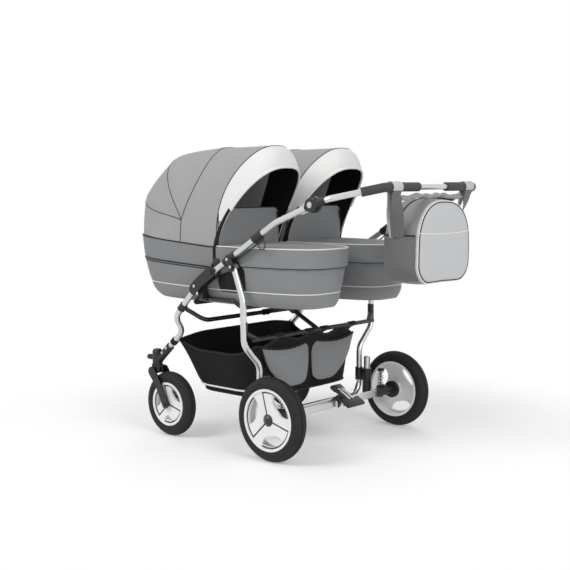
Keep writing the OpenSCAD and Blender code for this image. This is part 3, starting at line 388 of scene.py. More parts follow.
def anodised(name, colour, mask=None, other=None):
    """Satin tube. Where mask is 1 the other colour shows, as moulded plastic."""
    f = Finish(name, Metallic=0.9, Roughness=0.3)
    streak = f.node("ShaderNodeTexNoise", {}, {
        "Vector": f.node("ShaderNodeMapping", {}, {"Vector": f.where(), "Scale": (900.0, 60.0, 60.0)}),
        "Scale": 1.0, "Detail": 2.0})
    cloud = f.speckle(30.0, 3.0)
    shade = f.mix(cloud, tone(colour, 0.9), tone(colour, 1.06))
    rough = streak * 0.1 + cloud * 0.08 + 0.2
    if mask is not None:
        part = mask(f)
        shade = f.mix(part, shade, other)
        rough = rough * (1 - part) + part * 0.45
        f.feed("Metallic", 0.9 - part * 0.9)
    f.feed("Base Color", shade)
    f.feed("Roughness", rough)
    f.bump(streak, 0.05, 0.0002)
    return f.material


def moulded(name, colour, rough=0.42, grain=700.0, mask=None, other=None):
    """Grained plastic or paint. Where mask is 1 the other colour shows, as bare metal."""
    f = Finish(name, Roughness=rough, Coat_Roughness=0.25, Specular_IOR_Level=0.5)
    cloud = f.speckle(22.0, 4.0)
    pit = f.speckle(grain, 2.0)
    shade = f.mix(cloud, tone(colour, 0.75), tone(colour, 1.3))
    roughness = pit * 0.12 + cloud * 0.1 + (rough - 0.11)
    if mask is not None:
        part = mask(f)
        shade = f.mix(part, shade, other)
        roughness = roughness * (1 - part) + part * 0.28
        f.feed("Metallic", part * 0.95)
    f.feed("Base Color", shade)
    f.feed("Roughness", roughness)
    f.bump(pit, 0.12, 0.0003)
    return f.material


def leather(name, colour):
    f = Finish(name, Roughness=0.5, Specular_IOR_Level=0.45)
    sockets = {"Vector": f.where(), "Scale": 420.0}
    cell = f.node("ShaderNodeTexVoronoi", {"feature": "DISTANCE_TO_EDGE"}, sockets)
    edge = 0.12
    grain = cell.math("MINIMUM", edge) / edge
    cloud = f.speckle(40.0, 3.0)
    f.feed("Base Color", f.mix(grain * 0.6 + cloud * 0.4, tone(colour, 0.6), tone(colour, 1.25)))
    f.feed("Roughness", 0.66 - grain * 0.14 + cloud * 0.08)
    f.bump(grain, 0.5, 0.0006)
    return f.material


def round_axle(f, centre):
    """Distance from an axle, turn about it in radians and distance along it from the centre."""
    x, y, z = f.axes(f.where())
    ahead, up = y - centre.y, z - centre.z
    return (ahead * ahead + up * up) ** 0.5, up.math("ARCTAN2", ahead), abs(x - centre.x)


def rubber(name, colour, centre, wheel_r):
    """Tyre with fine blocks on its shoulders. The blocks are painted lighter than the grooves between them,
    as a painted highlight on their tops.
    """
    f = Finish(name, Roughness=0.75, Specular_IOR_Level=0.35)
    block_count, row_gap, shoulder_w = 84.0, 0.0052, 0.021
    r, turn, _ = round_axle(f, centre)
    blocks = (turn * block_count).math("SINE").above(0.0, 0.25)
    rows = (r * (2 * math.pi / row_gap)).math("SINE").above(-0.3, 0.3)
    shoulder = r.above(wheel_r - shoulder_w, 0.002)
    tread = blocks * rows * shoulder
    dust = f.speckle(45.0, 4.0)
    # Random dust tone, plus a painted highlight that lightens the tread blocks against their grooves
    dust_and_tread_highlight = tread * 0.5 + dust * 0.35
    f.feed("Base Color", f.mix(dust_and_tread_highlight, tone(colour, 0.55), tone(colour, 1.9)))
    f.feed("Roughness", dust * 0.2 + 0.6)
    f.bump(tread + f.speckle(900.0) * 0.12, 0.8, 0.0012)
    return f.material


def rim_paint(name, colour, black, centre, line_r, cap_r, face):
    """White rim with three black lines that run out from the hub and then along the rim."""
    f = Finish(name, Roughness=0.32, Coat_Weight=0.3, Coat_Roughness=0.2)
    half_line, soft, face_depth = 0.0028, 0.0004, 0.004
    r, turn, out = round_axle(f, centre)
    third = 2 * math.pi / 3
    part = ((turn - math.radians(SPOKE_TURN)) / third).math("FLOORED_MODULO", 1.0) * third
    near = part.math("MINIMUM", third - part)
    spoke = (r * near.math("SINE")).below(half_line, soft) * r.below(line_r + half_line, soft)
    arc = abs(r - line_r).below(half_line, soft) * (third - part).below(math.radians(RIM_ARC), 0.01)
    line = spoke.math("MAXIMUM", arc) * out.above(face - face_depth, soft)
    line = line.math("MAXIMUM", r.below(cap_r, 0.0003) * out.above(face - 0.001, 0.0003))
    cloud = f.speckle(12.0, 3.0)
    f.feed("Base Color", f.mix(line, f.mix(cloud, tone(colour, 0.93), colour), black))
    f.feed("Roughness", cloud * 0.1 + 0.28)
    f.bump(f.speckle(600.0), 0.04, 0.0002)
    return f.material


def steel_wire(name, colour):
    f = Finish(name, Metallic=1.0, Roughness=0.3)
    cloud = f.speckle(180.0, 3.0)
    f.feed("Base Color", f.mix(cloud, tone(colour, 0.75), colour))
    f.feed("Roughness", cloud * 0.2 + 0.2)
    return f.material


FINISH = {}


# Meshes of soft pieces


def run(points, loop=False):
    """Distance along a line of points, at each point."""
    found = [0.0]
    ends = points[1:] + (points[:1] if loop else [])
    for a, b in zip(points, ends):
        found.append(found[-1] + (b - a).length)
    return found


def even_steps(far, count, loop=False):
    """Even steps along a line of known distances, as the number of a stretch and a share of it."""
    k = 0
    for i in range(count):
        goal = far[-1] * i / (count if loop else count - 1)
        while k < len(far) - 2 and far[k + 1] < goal:
            k += 1
        yield k, clamp((goal - far[k]) / max(far[k + 1] - far[k], 1e-9))


def spread(path, count, loop=False):
    """The same line with evenly spaced points."""
    line = path + (path[:1] if loop else [])
    return [line[k].lerp(line[k + 1], share) for k, share in even_steps(run(line), count, loop)]


def beside(line, i, loop):
    """The points before and after one point of a line."""
    n = len(line)
    if loop:
        return line[(i - 1) % n], line[(i + 1) % n]
    return line[max(i - 1, 0)], line[min(i + 1, n - 1)]


def row_of(first, n, k=0):
    """Point numbers of one row of a grid."""
    return [first + k * n + i for i in range(n)]


class Cloth:
    """Points, faces, finishes and UV map of one soft piece, gathered before its mesh is made."""

    def __init__(self):
        self.points = []
        self.faces = []
        self.kinds = []
        self.uvs = []
        self.tags = {}

    def add_face(self, corners, uvs, kind):
        self.faces.append(corners)
        self.uvs.append(uvs)
        self.kinds.append(kind)

    def grid(self, rows, kind=0, loop=False, flip=False):
        """Skin through rows of points. Kind is a finish or a function of row and column."""
        first, n = len(self.points), len(rows[0])
        along = run(list(rows[len(rows) // 2]), loop)
        across = run([row[n // 2] for row in rows])
        for row in rows:
            self.points.extend(row)
        for k in range(len(rows) - 1):
            for i in range(n if loop else n - 1):
                j = (i + 1) % n
                low, high = first + k * n, first + (k + 1) * n
                corners = [low + i, low + j, high + j, high + i]
                uvs = [(along[i], across[k]), (along[i + 1], across[k]),
                       (along[i + 1], across[k + 1]), (along[i], across[k + 1])]
                if flip:
                    corners.reverse()
                    uvs.reverse()
                self.add_face(corners, uvs, kind(k, i) if callable(kind) else kind)
        return first

    def fan(self, ring, centre, kind=0):
        """Closes a ring of point numbers on a middle point."""
        middle = len(self.points)
        self.points.append(centre)
        for a, b in zip(ring, ring[1:] + ring[:1]):
            flat = [(self.points[i].x, self.points[i].y) for i in (a, b, middle)]
            self.add_face([a, b, middle], flat, kind)

    def cap(self, first, rows, k, kind=0):
        """Closes one end row of a grid on its middle."""
        n = len(rows[k])
        self.fan(row_of(first, n, k % len(rows)), sum(rows[k], Vector()) / n, kind)

    def stitch(self, one, two, kind):
        """Faces between two lines of point numbers of the same length."""
        for i in range(len(one) - 1):
            corners = [one[i], one[i + 1], two[i + 1], two[i]]
            self.add_face(corners, [(self.points[c].x, self.points[c].y) for c in corners], kind)

    def shell(self, rows, thick, out=0, inside=0, loop=False, ends=(0, -1)):
        """Skin with a back and closed edges. Ends names the end rows that are edges."""
        n, count = len(rows[0]), len(rows)
        back = []
        for k, row in enumerate(rows):
            line = []
            for i, p in enumerate(row):
                before, after = beside(row, i, loop)
                rise = rows[min(k + 1, count - 1)][i] - rows[max(k - 1, 0)][i]
                normal = (after - before).cross(rise)
                line.append(p - normal.normalized() * thick if normal.length > 1e-12 else p)
            back.append(line)
        a = self.grid(rows, out, loop)
        b = self.grid(back, inside, loop, flip=True)
        wrap = [0] if loop else []
        edge = inside(0, 0) if callable(inside) else inside
        for k in ends:
            order = [k % count * n + i for i in (*range(n), *wrap)]
            self.stitch([a + o for o in order], [b + o for o in order], edge)
        if not loop:
            for i in (0, n - 1):
                order = [k * n + i for k in range(count)]
                self.stitch([a + o for o in order], [b + o for o in order], edge)
        return a

    def tube(self, path, r, kind=0, loop=False, sides=8):
        """Round piping along a path. The radius may be a function of the share of the way."""
        n = len(path)
        tangents = []
        for i in range(n):
            before, after = beside(path, i, loop)
            tangents.append((after - before).normalized())
        helper = Vector((0, 0, 1)) if abs(tangents[0].z) < 0.9 else Vector((1, 0, 0))
        side = tangents[0].cross(helper).normalized()
        rows = []
        for i, (p, t) in enumerate(zip(path, tangents)):
            side = (side - t * side.dot(t)).normalized()
            up = t.cross(side)
            size = r(i / max(n - 1, 1)) if callable(r) else r
            turns = [2 * math.pi * s / sides for s in range(sides)]
            rows.append([p + (side * math.cos(a) + up * math.sin(a)) * size for a in turns])
        if loop:
            rows.append(rows[0])
        first = self.grid(rows, kind, loop=True)
        if not loop:
            for k, p in ((0, path[0]), (n - 1, path[-1])):
                self.fan(row_of(first, sides, k), p, kind)

    def band(self, path, across, width, thick, kind=0):
        """Flat webbing along a path. Across gives its width's direction at each point."""
        n = len(path)
        rows = []
        for i, p in enumerate(path):
            before, after = beside(path, i, False)
            t = (after - before).normalized()
            w = across[i] if isinstance(across, list) else across
            w = (w - t * w.dot(t)).normalized()
            normal = t.cross(w)
            half = width(i / (n - 1)) / 2 if callable(width) else width / 2
            edge = thick / 2
            corners = [(-half, -edge), (half - edge, -edge), (half, 0), (half - edge, edge), (-half, edge)]
            rows.append([p + w * a + normal * b for a, b in corners])
        first = self.grid(rows, kind, loop=True)
        for k in (0, -1):
            self.cap(first, rows, k, kind)

    def tag(self, name, value):
        """Number on each point, worked out by a function of the point."""
        self.tags[name] = value

    def make(self, name, finishes, crease=50):
        mesh = bpy.data.meshes.new(name)
        mesh.from_pydata(self.points, [], self.faces)
        mesh.polygons.foreach_set("material_index", self.kinds)
        layer = mesh.uv_layers.new(name="cloth")
        flat = [c for corners in self.uvs for uv in corners for c in uv]
        layer.data.foreach_set("uv", flat)
        for key, value in self.tags.items():
            numbers = mesh.attributes.new(key, "FLOAT", "POINT")
            numbers.data.foreach_set("value", [value(p) for p in self.points])
        for finish in finishes:
            mesh.materials.append(FINISH[finish])
        piece = bpy.data.objects.new(name, mesh)
        bpy.context.scene.collection.objects.link(piece)
        tidy(piece, crease)
        return piece


def only(piece):
    """Selects one piece and nothing else."""
    bpy.ops.object.select_all(action="DESELECT")
    piece.select_set(True)
    bpy.context.view_layer.objects.active = piece


def tidy(piece, crease=40):
    """Merges doubles, turns faces outwards and sets smooth shading with creases."""
    only(piece)
    bpy.ops.object.mode_set(mode="EDIT")
    bpy.ops.mesh.select_all(action="SELECT")
    bpy.ops.mesh.remove_doubles(threshold=0.00002)
    bpy.ops.mesh.normals_make_consistent(inside=False)
    bpy.ops.object.mode_set(mode="OBJECT")
    bpy.ops.object.shade_smooth_by_angle(angle=math.radians(crease))


def ride(piece, body, slot, *replaced):
    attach(piece, body)
    if replaced:
        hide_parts(*replaced)
    return piece


# Shape of the carrycots and hoods


def cot_foot(h):
    ease = FOOT_EASE * min(1.0, 4 - 4 * h)
    return FOOT_BEHIND - ease - FOOT_LEAN * COT_H * (1 - h) - FOOT_TUCK * (1 - h) ** 8


def cot_head(h):
    return HEAD_EASE - HEAD_AHEAD + HEAD_LEAN * COT_H * (1 - h) + HEAD_TUCK * (1 - h) ** 6


def cot_half(h):
    return COT_W / 2 - SIDE_LEAN * (1 - h) - SIDE_TUCK * (1 - h) ** 10


COT_MID = (cot_foot(1) + cot_head(1)) / 2
COT_LEN = (cot_foot(1) - cot_head(1)) / 2


def rim_lift(y):
    return HEAD_RISE * clamp((COT_MID - y) / (COT_MID + HEAD_AHEAD))


def rim_half(y):
    return COT_W / 2 * max(0.0, 1 - (abs(y - COT_MID) / COT_LEN) ** PLAN_POWER) ** (1 / PLAN_POWER)


def cot_plan(turn, h, out=0.0):
    half, foot, head = cot_half(h) + out, cot_foot(h) + out, cot_head(h) - out
    c, s = math.cos(math.radians(turn)), math.sin(math.radians(turn))
    e = 2 / PLAN_POWER
    return half * power(c, e), (foot + head) / 2 + (foot - head) / 2 * power(s, e)


def cot_point(side, turn, h, out=0.0, z=None):
    """Point of a carrycot's wall at a share of its height, moved out by some millimetres."""
    x, y = cot_plan(turn, h, out)
    level = COT_FLOOR + h * COT_H + max(0.0, h - 0.1) / 0.9 * rim_lift(y)
    return place(side * COT_X + x, y, level if z is None else z)


def even_turns(low, high, count, fine=1500):
    """Turns that give evenly spaced points on the rim."""
    dense = [low + (high - low) * i / fine for i in range(fine + 1)]
    far = run([Vector((*cot_plan(t, 1), 0)) for t in dense])
    return [dense[k] + (dense[k + 1] - dense[k]) * share for k, share in even_steps(far, count)]


def turn_at(y):
    """Turn of the rim at a place along the pram, behind the cot's middle."""
    return math.degrees(math.asin(((y - COT_MID) / COT_LEN) ** (PLAN_POWER / 2)))


def cot_puff(side, turn, h):
    """How far the cloth of a carrycot stands out between its seams."""
    if h < COT_PIPING:
        share = h / COT_PIPING
        puff = LOW_PUFF * math.sin(math.pi * share) - SEAM_DRAW * share ** 6
    else:
        share = (h - COT_PIPING) / (1 - COT_PIPING)
        puff = HIGH_PUFF * math.sin(math.pi * share) ** 0.8 - SEAM_DRAW * (1 - share) ** 12
    p = cot_point(side, turn, h)
    fold = ripple(Vector((p.x * 2.5, p.y * 2.5, p.z * 0.7)), 11.0, 3.0) + 0.5 * ripple(p, 30.0, 8.0)
    return puff + COT_WRINKLE * fold * math.sin(math.pi * clamp(h)) ** 0.5


def visor_line(z):
    """Where the white visor starts along the pram, at a height."""
    return VISOR_FOOT + VISOR_REACH * max(0.0, (z - VISOR_FROM) / VISOR_SPAN) ** VISOR_POWER


def hood_crown(q):
    """Along and up of the hood's ridge: its rear for q from 0, its top from 1, its visor from 2 to 3."""
    turn = math.pi / 2 * (q % 1 if q < 3 else 1)
    base = COT_RIM + HEAD_RISE
    if q < 1:
        return (HOOD_RIDGE[0] - (HEAD_AHEAD + HOOD_RIDGE[0]) * math.cos(turn) ** (2 / HOOD_POWER),
                base + (HOOD_TOP - base) * math.sin(turn) ** (2 / HOOD_POWER))
    if q < 2:
        return HOOD_RIDGE[0] + (HOOD_RIDGE[1] - HOOD_RIDGE[0]) * (q - 1), HOOD_TOP
    return (HOOD_RIDGE[1] + (HOOD_PEAK[0] - HOOD_RIDGE[1]) * math.sin(turn),
            HOOD_TOP - (HOOD_TOP - HOOD_PEAK[1]) * (1 - math.cos(turn)))


def hood_foot(q):
    """Where the hood meets the rim, along the pram."""
    if q < 1:
        return HOOD_START_Y + (HOOD_SEAM_Y - HOOD_START_Y) * q ** 1.5
    return HOOD_SEAM_Y + (APRON_Y - HOOD_CLEAR - HOOD_SEAM_Y) * (q - 1) / 2


def hood_sag(y, z, depth):
    """How far the cloth falls in towards the middle between the bows."""
    ahead, up = y - HOOD_PIVOT[0], z - HOOD_PIVOT[1]
    turn = math.degrees(math.atan2(up, ahead))
    turn = turn if turn > -60 else turn + 360
    free = smooth((math.hypot(ahead, up) - SAG_FROM) / SAG_RISE)
    bows = (*HOOD_BOWS, HOOD_REAR_TURN)
    for low, high in zip(bows, bows[1:]):
        if low <= turn <= high:
            share = (turn - low) / (high - low)
            return depth * (1 - (2 * share - 1) ** 2) * free
    front = visor_line(z)
    if turn < HOOD_BOWS[0] and y < front:
        share = clamp(ahead / max(front - HOOD_PIVOT[0], 1))
        return 0.45 * depth * math.sin(math.pi * share) * free * smooth((z - VISOR_FROM) / 120)
    return 0.0


def hood_point(side, q, turn, depth=0.0):
    """Point of a hood at a place q along its ridge and a turn from rim to rim."""
    foot_y, (top_y, top_z) = hood_foot(q), hood_crown(q)
    half = max(20.0, rim_half(foot_y)) + HOOD_SPREAD * max(0.0, 1 - q) - HOOD_DRAW * min(1.0, q)
    base = COT_RIM + rim_lift(foot_y) + HOOD_LIFT
    c, s = math.cos(math.radians(turn)), max(0.0, math.sin(math.radians(turn)))
    up = s ** (2 / ARCH_POWER)
    x = half * power(c, 2 / ARCH_POWER)
    y = foot_y + (top_y - foot_y) * up ** 1.5
    z = base + (max(top_z, base) - base) * up
    if depth:
        inward = Vector((-x, HOOD_MIDDLE[0] - y, HOOD_MIDDLE[1] - z)).normalized()
        x, y, z = Vector((x, y, z)) + inward * hood_sag(y, z, depth)
    return place(side * COT_X + x, y, z)


# Operators, one for each group of like pieces


class PramOperator(bpy.types.Operator):
    """Shared parts of the pram's operators"""
    bl_idname = "pram.base"
    bl_label = "Pram base"
    bl_options = {"REGISTER", "UNDO"}

    def build(self, sizes, colours):
        raise NotImplementedError

    def execute(self, context):
        self.build(context.scene.pram_sizes, context.scene.pram_colours)
        return {"FINISHED"}


class PRAM_OT_finishes(PramOperator):
    """Makes the finishes of every piece"""
    bl_idname = "pram.finishes"
    bl_label = "Finishes"

    def build(self, sizes, colours):
        c = {key: tuple(getattr(colours, key)) for key in colours.__annotations__}
        dark = c["black_cloth"]
        FINISH.update({
            "hood": woven("hood_cloth", c["hood"], white=("ahead", c["white"])),
            "body": woven("body_cloth", c["body"], contrast=0.2),
            "bag": woven("bag_cloth", c["bag"]),
            "bag_side": woven("bag_side_cloth", tone(c["bag"], 0.27)),
            "gusset": woven("bag_gusset_cloth", tone(c["bag"], 0.5)),
            "pocket": woven("pocket_cloth", tone(c["body"], 0.95), contrast=0.2),
            "white": woven("white_piping", c["white"], contrast=0.04),
            "lining": woven("lining_cloth", c["lining"], contrast=0.12),
            "black_cloth": woven("black_cloth", tone(dark, 0.7), thread=0.0016, contrast=0.3, sheen=0.03),
            "webbing": woven("black_webbing", tone(dark, 1.4), thread=0.0022, contrast=0.35),
            "seam": woven("dark_seam", dark, thread=0.002, contrast=0.3),
            "roll": woven("rolled_strap", tone(c["bag"], 0.62), thread=0.002, contrast=0.3),
            "cotton": padded_cotton("bedding_cotton", c["white"]),
            "plastic": moulded("black_moulding", c["black"]),
            "chrome": steel_wire("bright_steel", c["silver"]),
        })


class PRAM_OT_frame(PramOperator):
    """Gives the CAD frame its finishes"""
    bl_idname = "pram.frame"
    bl_label = "Frame and wheels"

    def build(self, sizes, colours):
        silver, black = tuple(colours.silver), tuple(colours.black)
        white, rubber_colour = tuple(colours.white), tuple(colours.rubber)
        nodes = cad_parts

        def disc_mask(f):
            return round_axle(f, place(0, *HANDLE_PIVOT))[0].below(PIVOT_DISC_R * MM, 0.0003)

        def damper_mask(f):
            _, y, z = f.axes(f.where())
            ahead, behind = (place(0, edge, 0).y for edge in DAMPER_Y)
            return z.above(DAMPER_LOW * MM, 0.0003) * y.above(ahead, 0.001) * y.below(behind, 0.001)

        tube = anodised("satin_tube", silver)
        paint = moulded("black_paint", tone(black, 0.8), rough=0.34, grain=300.0)
        casting = moulded("charcoal_casting", tone(black, 1.1), rough=0.5)
        gloss = moulded("gloss_black", tone(black, 0.7), rough=0.24, grain=200.0)
        rail = anodised("satin_rail", silver, disc_mask, tone(black, 1.3))
        damper = moulded("damper_casting", black, 0.4, 700.0, damper_mask, silver)
        grip = leather("grip_leather", tuple(colours.leather))
        steel = steel_wire("pin_steel", silver)
        by_start = {
            ("front_leg", "rear_legs", "handle_bar", "axle_beam"): tube,
            ("side_rail",): rail,
            ("hinge_bracket", "leg_bracket", "handle_knuckle", "fold_lock"): casting,
            ("caster_housing", "swivel_lock", "axle_sleeves", "brake_pedal"): casting,
            ("front_cross_tube", "cot_cradle", "rear_cross_tube", "centre_link"): paint,
            ("fork",): gloss,
            ("suspension",): damper,
            ("grip",): grip,
            ("handle_button", "brake_pin"): steel,
        }
        for name, node in nodes.items():
            for starts, material in by_start.items():
                if name.startswith(starts):
                    node.data.materials[0] = material
        for side, s in SIDES.items():
            for end, wheel in WHEELS.items():
                centre = on_side(s, wheel["axle"])
                tyre = rubber(f"{end}_rubber_{side}", rubber_colour, centre, wheel["axle"][2] * MM)
                lines = [size * MM for size in wheel["lines"]]
                rim = rim_paint(f"{end}_rim_{side}", white, black, centre, *lines)
                nodes[f"{end}_tyre_{side}"].data.materials[0] = tyre
                nodes[f"{end}_rim_{side}"].data.materials[0] = rim


class PRAM_OT_cots(PramOperator):
    """Makes the cloth bodies of the carrycots, with piping and zips"""
    bl_idname = "pram.cots"
    bl_label = "Carrycot bodies"

    def build(self, sizes, colours):
        turns = even_turns(0, 360, 145)[:-1]
        heights = [0, 0.01, 0.02, 0.04, 0.06, 0.09, 0.13, 0.17, 0.21, 0.235, COT_PIPING, 0.275, 0.31]
        heights += [0.36 + 0.06 * i for i in range(10)] + [0.94, 0.98, 1]
        lining_heights = (1, 0.8, 0.5, 0.2, 0.06)
        n, outside = len(turns), len(heights)
        behind = turn_at(ZIP_END_Y)
        zip_ends = (180 - behind, 360 + behind)
        head = even_turns(*zip_ends, 100)
        for side, s in SIDES.items():
            cloth = Cloth()
            rows = []
            for h in heights:
                rows.append([cot_point(s, t, h, cot_puff(s, t, h) if 0 < h < 1 else 0) for t in turns])
            rows += [[cot_point(s, t, h, -COT_WALL) for t in turns] for h in lining_heights]
            first = cloth.grid(rows, lambda k, i: 0 if k < outside - 1 else 1, loop=True)
            for kind, k, z in ((0, 0, COT_FLOOR), (1, len(rows) - 1, COT_FLOOR + COT_FLOOR_H)):
                cloth.fan(row_of(first, n, k), place(s * COT_X, COT_MID, z), kind)
            piping = [cot_point(s, t, COT_PIPING, cot_puff(s, t, COT_PIPING) + 1.0) for t in turns]
            cloth.tube(piping, sizes.piping_r, 2, loop=True)
            for h, share in COT_ZIPS:
                line = [cot_point(s, t, h, cot_puff(s, t, h) + 0.5) for t in head]
                cloth.tube(line, sizes.seam_r * share, 3)
            cloth.tube([cot_point(s, t, 1, 0.2) for t in head], sizes.seam_r * 1.4, 3)
            for t in zip_ends:
                levels = [ZIP_END_LOW + (1 - ZIP_END_LOW) * share for share in shares(10)]
                line = [cot_point(s, t, h, cot_puff(s, t, min(0.99, h)) + 0.8) for h in levels]
                cloth.band(line, Vector((0, 1, 0)), 0.013, 0.0022, 3)
            self.panel(cloth, s)
            piece = cloth.make(f"cot_body_{side}", ["body", "lining", "white", "seam"])
            ride(piece, f"carrycot_{side}", "body_cloth", f"tub_{side}")

    def panel(self, cloth, s):
        """Dark panel under the rail, where the carrycot's adapter sits; it also paints the shadow that the
        rail and leg cast on the wall there.
        """
        start_y, length, low, front_h, rear_h, corner = -272, 134, 560, 60, 92, 14
        rows = []
        for v in shares(12):
            draw = corner * (2 * v - 1) ** 6
            row = []
            for u in shares(24):
                y = start_y + draw + (length - 2 * draw) * u
                z = low + (front_h + (rear_h - front_h) * u) * v
                h = (z - COT_FLOOR) / COT_H
                t = turn_at(y) if y > COT_MID else -turn_at(2 * COT_MID - y)
                t = t if s > 0 else 180 - t
                row.append(cot_point(s, t, h, cot_puff(s, t, h) + 1.6, z=z))
            rows.append(row if s > 0 else row[::-1])
        cloth.shell(rows, 0.0022, 3, 3)


class PRAM_OT_aprons(PramOperator):
    """Makes the aprons with their piping and hanging skirts"""
    bl_idname = "pram.aprons"
    bl_label = "Aprons"

    def build(self, sizes, colours):
        rim = even_turns(turn_at(APRON_Y), 180 - turn_at(APRON_Y), 96)
        for side, s in SIDES.items():
            cloth = Cloth()
            edge = [cot_point(s, t, 1, 1.2) for t in rim]
            front = [edge[-1].lerp(edge[0], share) for share in shares(24)]
            centre = place(s * COT_X, APRON_MID_Y, 0)
            self.top(cloth, s, edge + front[1:-1], centre)
            hang = self.skirt(s, rim, centre)
            cloth.shell(hang, 0.0014, 0, 0)
            cloth.tube([cot_point(s, t, 1, 2.4, z=COT_RIM + 3.5) for t in rim], sizes.piping_r * 1.2, 1)
            cloth.tube([p + Vector((0, 0, 0.0008)) for p in hang[0]], 0.0011, 2)
            cloth.tube([Vector((p.x, p.y, (COT_RIM + 4.5) * MM)) for p in front], 0.0016, 2)
            piece = cloth.make(f"apron_cover_{side}", ["body", "white", "seam"])
            ride(piece, f"carrycot_{side}", "body_cloth", f"apron_{side}")

    def top(self, cloth, s, outline, centre):
        """Crowned cover inside an outline, in rings that shrink towards its centre."""
        rows = []
        for k in (1.0, 0.992, 0.975, 0.95, 0.9, 0.82, 0.7, 0.56, 0.42, 0.28, 0.14, 0.04):
            rise = APRON_LIFT + APRON_CROWN * (1 - k ** 4) ** 0.75
            row = []
            for p in outline:
                q = centre.lerp(p, k)
                crease = ripple(Vector((q.x, q.y * 0.6, 0)), 13.0, 5.0 * s) * APRON_WRINKLE * (1 - k ** 6)
                row.append(Vector((q.x, q.y, (COT_RIM + rise + crease) * MM)))
            rows.append(row)
        n = len(outline)
        first = cloth.shell(rows, 0.0022, 0, 0, loop=True, ends=(0,))
        for base in (first, first + n * len(rows)):
            ring = row_of(base, n, len(rows) - 1)
            cloth.fan(ring, sum((cloth.points[i] for i in ring), Vector()) / n, 0)

    def skirt(self, s, rim, centre):
        """Rows of the skirt from its hem up, which hangs free of the wall towards the foot."""
        hang = []
        for d in (1, 0.85, 0.7, 0.55, 0.4, 0.27, 0.15, 0.06, 0):
            z = COT_RIM + 1 - SKIRT_DROP * d
            h = (z - COT_FLOOR) / COT_H
            row = []
            for i, t in enumerate(rim):
                free = smooth((cot_plan(t, 1)[1] - SKIRT_FREE_Y) / 60)
                wall = cot_point(s, t, min(h, 1), 2.2 + 1.4 * free, z=z)
                drop = cot_point(s, t, 1, 0.6 + 1.4 * free, z=z)
                p = drop.lerp(wall, 0.8 - 0.55 * free if h < 1 else 0)
                out = Vector((p.x - s * COT_X * MM, (p.y - centre.y) * 0.3, 0)).normalized()
                wave = math.sin(i * 0.78) * 0.9 + ripple(p, 16.0, 2.0) * 1.6
                row.append(p + out * (wave * MM * d))
            hang.append(row)
        return hang


class PRAM_OT_flaps(PramOperator):
    """Makes the upright wind flaps with their binding and straps"""
    bl_idname = "pram.flaps"
    bl_label = "Wind flaps"

    def build(self, sizes, colours):
        start = 1 - FLAP_CORNER / FLAP_H

        def width(v):
            share = clamp((v - start) / (1 - start))
            return FLAP_HALF - FLAP_CORNER * (1 - math.sqrt(max(0.0, 1 - share * share)))

        def point(s, u, v, face):
            thick = 4.2 * (1 - abs(u) ** 6) * (1 - v ** 8) * smooth(v * 6 + 0.3) + 0.8
            bow = 3.0 * (1 - u * u) * v
            p = place(s * COT_X + u * width(v), FLAP_Y - bow + face * thick, FLAP_Z + v * FLAP_H)
            return p + Vector((0, ripple(p, 24.0, 4.0) * 0.0012 * v, 0))

        us = [math.sin(math.pi / 2 * (i / 20 - 1)) for i in range(41)]
        vs = [0, 0.05, 0.12] + [0.2 + 0.06 * i for i in range(10)] + [0.8, 0.86, 0.91, 0.95, 0.98, 0.995]
        for side, s in SIDES.items():
            cloth = Cloth()
            n, count = len(us), len(vs)
            back = cloth.grid([[point(s, u, v, 1) for u in us] for v in vs], 0)
            face = cloth.grid([[point(s, u, v, -1) for u in us] for v in vs], 0, flip=True)
            ends = [row_of(0, n, k) for k in (0, count - 1)]
            for edge in ends + [range(i, n * count, n) for i in (0, n - 1)]:
                cloth.stitch([back + i for i in edge], [face + i for i in edge], 0)
            rim = [point(s, -1, v, 0) for v in vs] + [point(s, u, vs[-1], 0) for u in us[1:-1]]
            rim += [point(s, 1, v, 0) for v in reversed(vs)]
            cloth.tube(rim, 0.0021, 1)
            for e in (-1, 1):
                hold = point(s, e * 0.95, 0.74, 1)
                strap = [hold + Vector((e * 0.0002 * d, 0.0035, -0.0011 * d)) for d in (-16, -8, 0, 8, 16)]
                cloth.band(strap, Vector((1, 0, 0.1)), 0.012, 0.0018, 1)
            piece = cloth.make(f"wind_flap_{side}", ["body", "webbing"])
            ride(piece, f"flap_{side}", "body_cloth", f"flap_{side}")


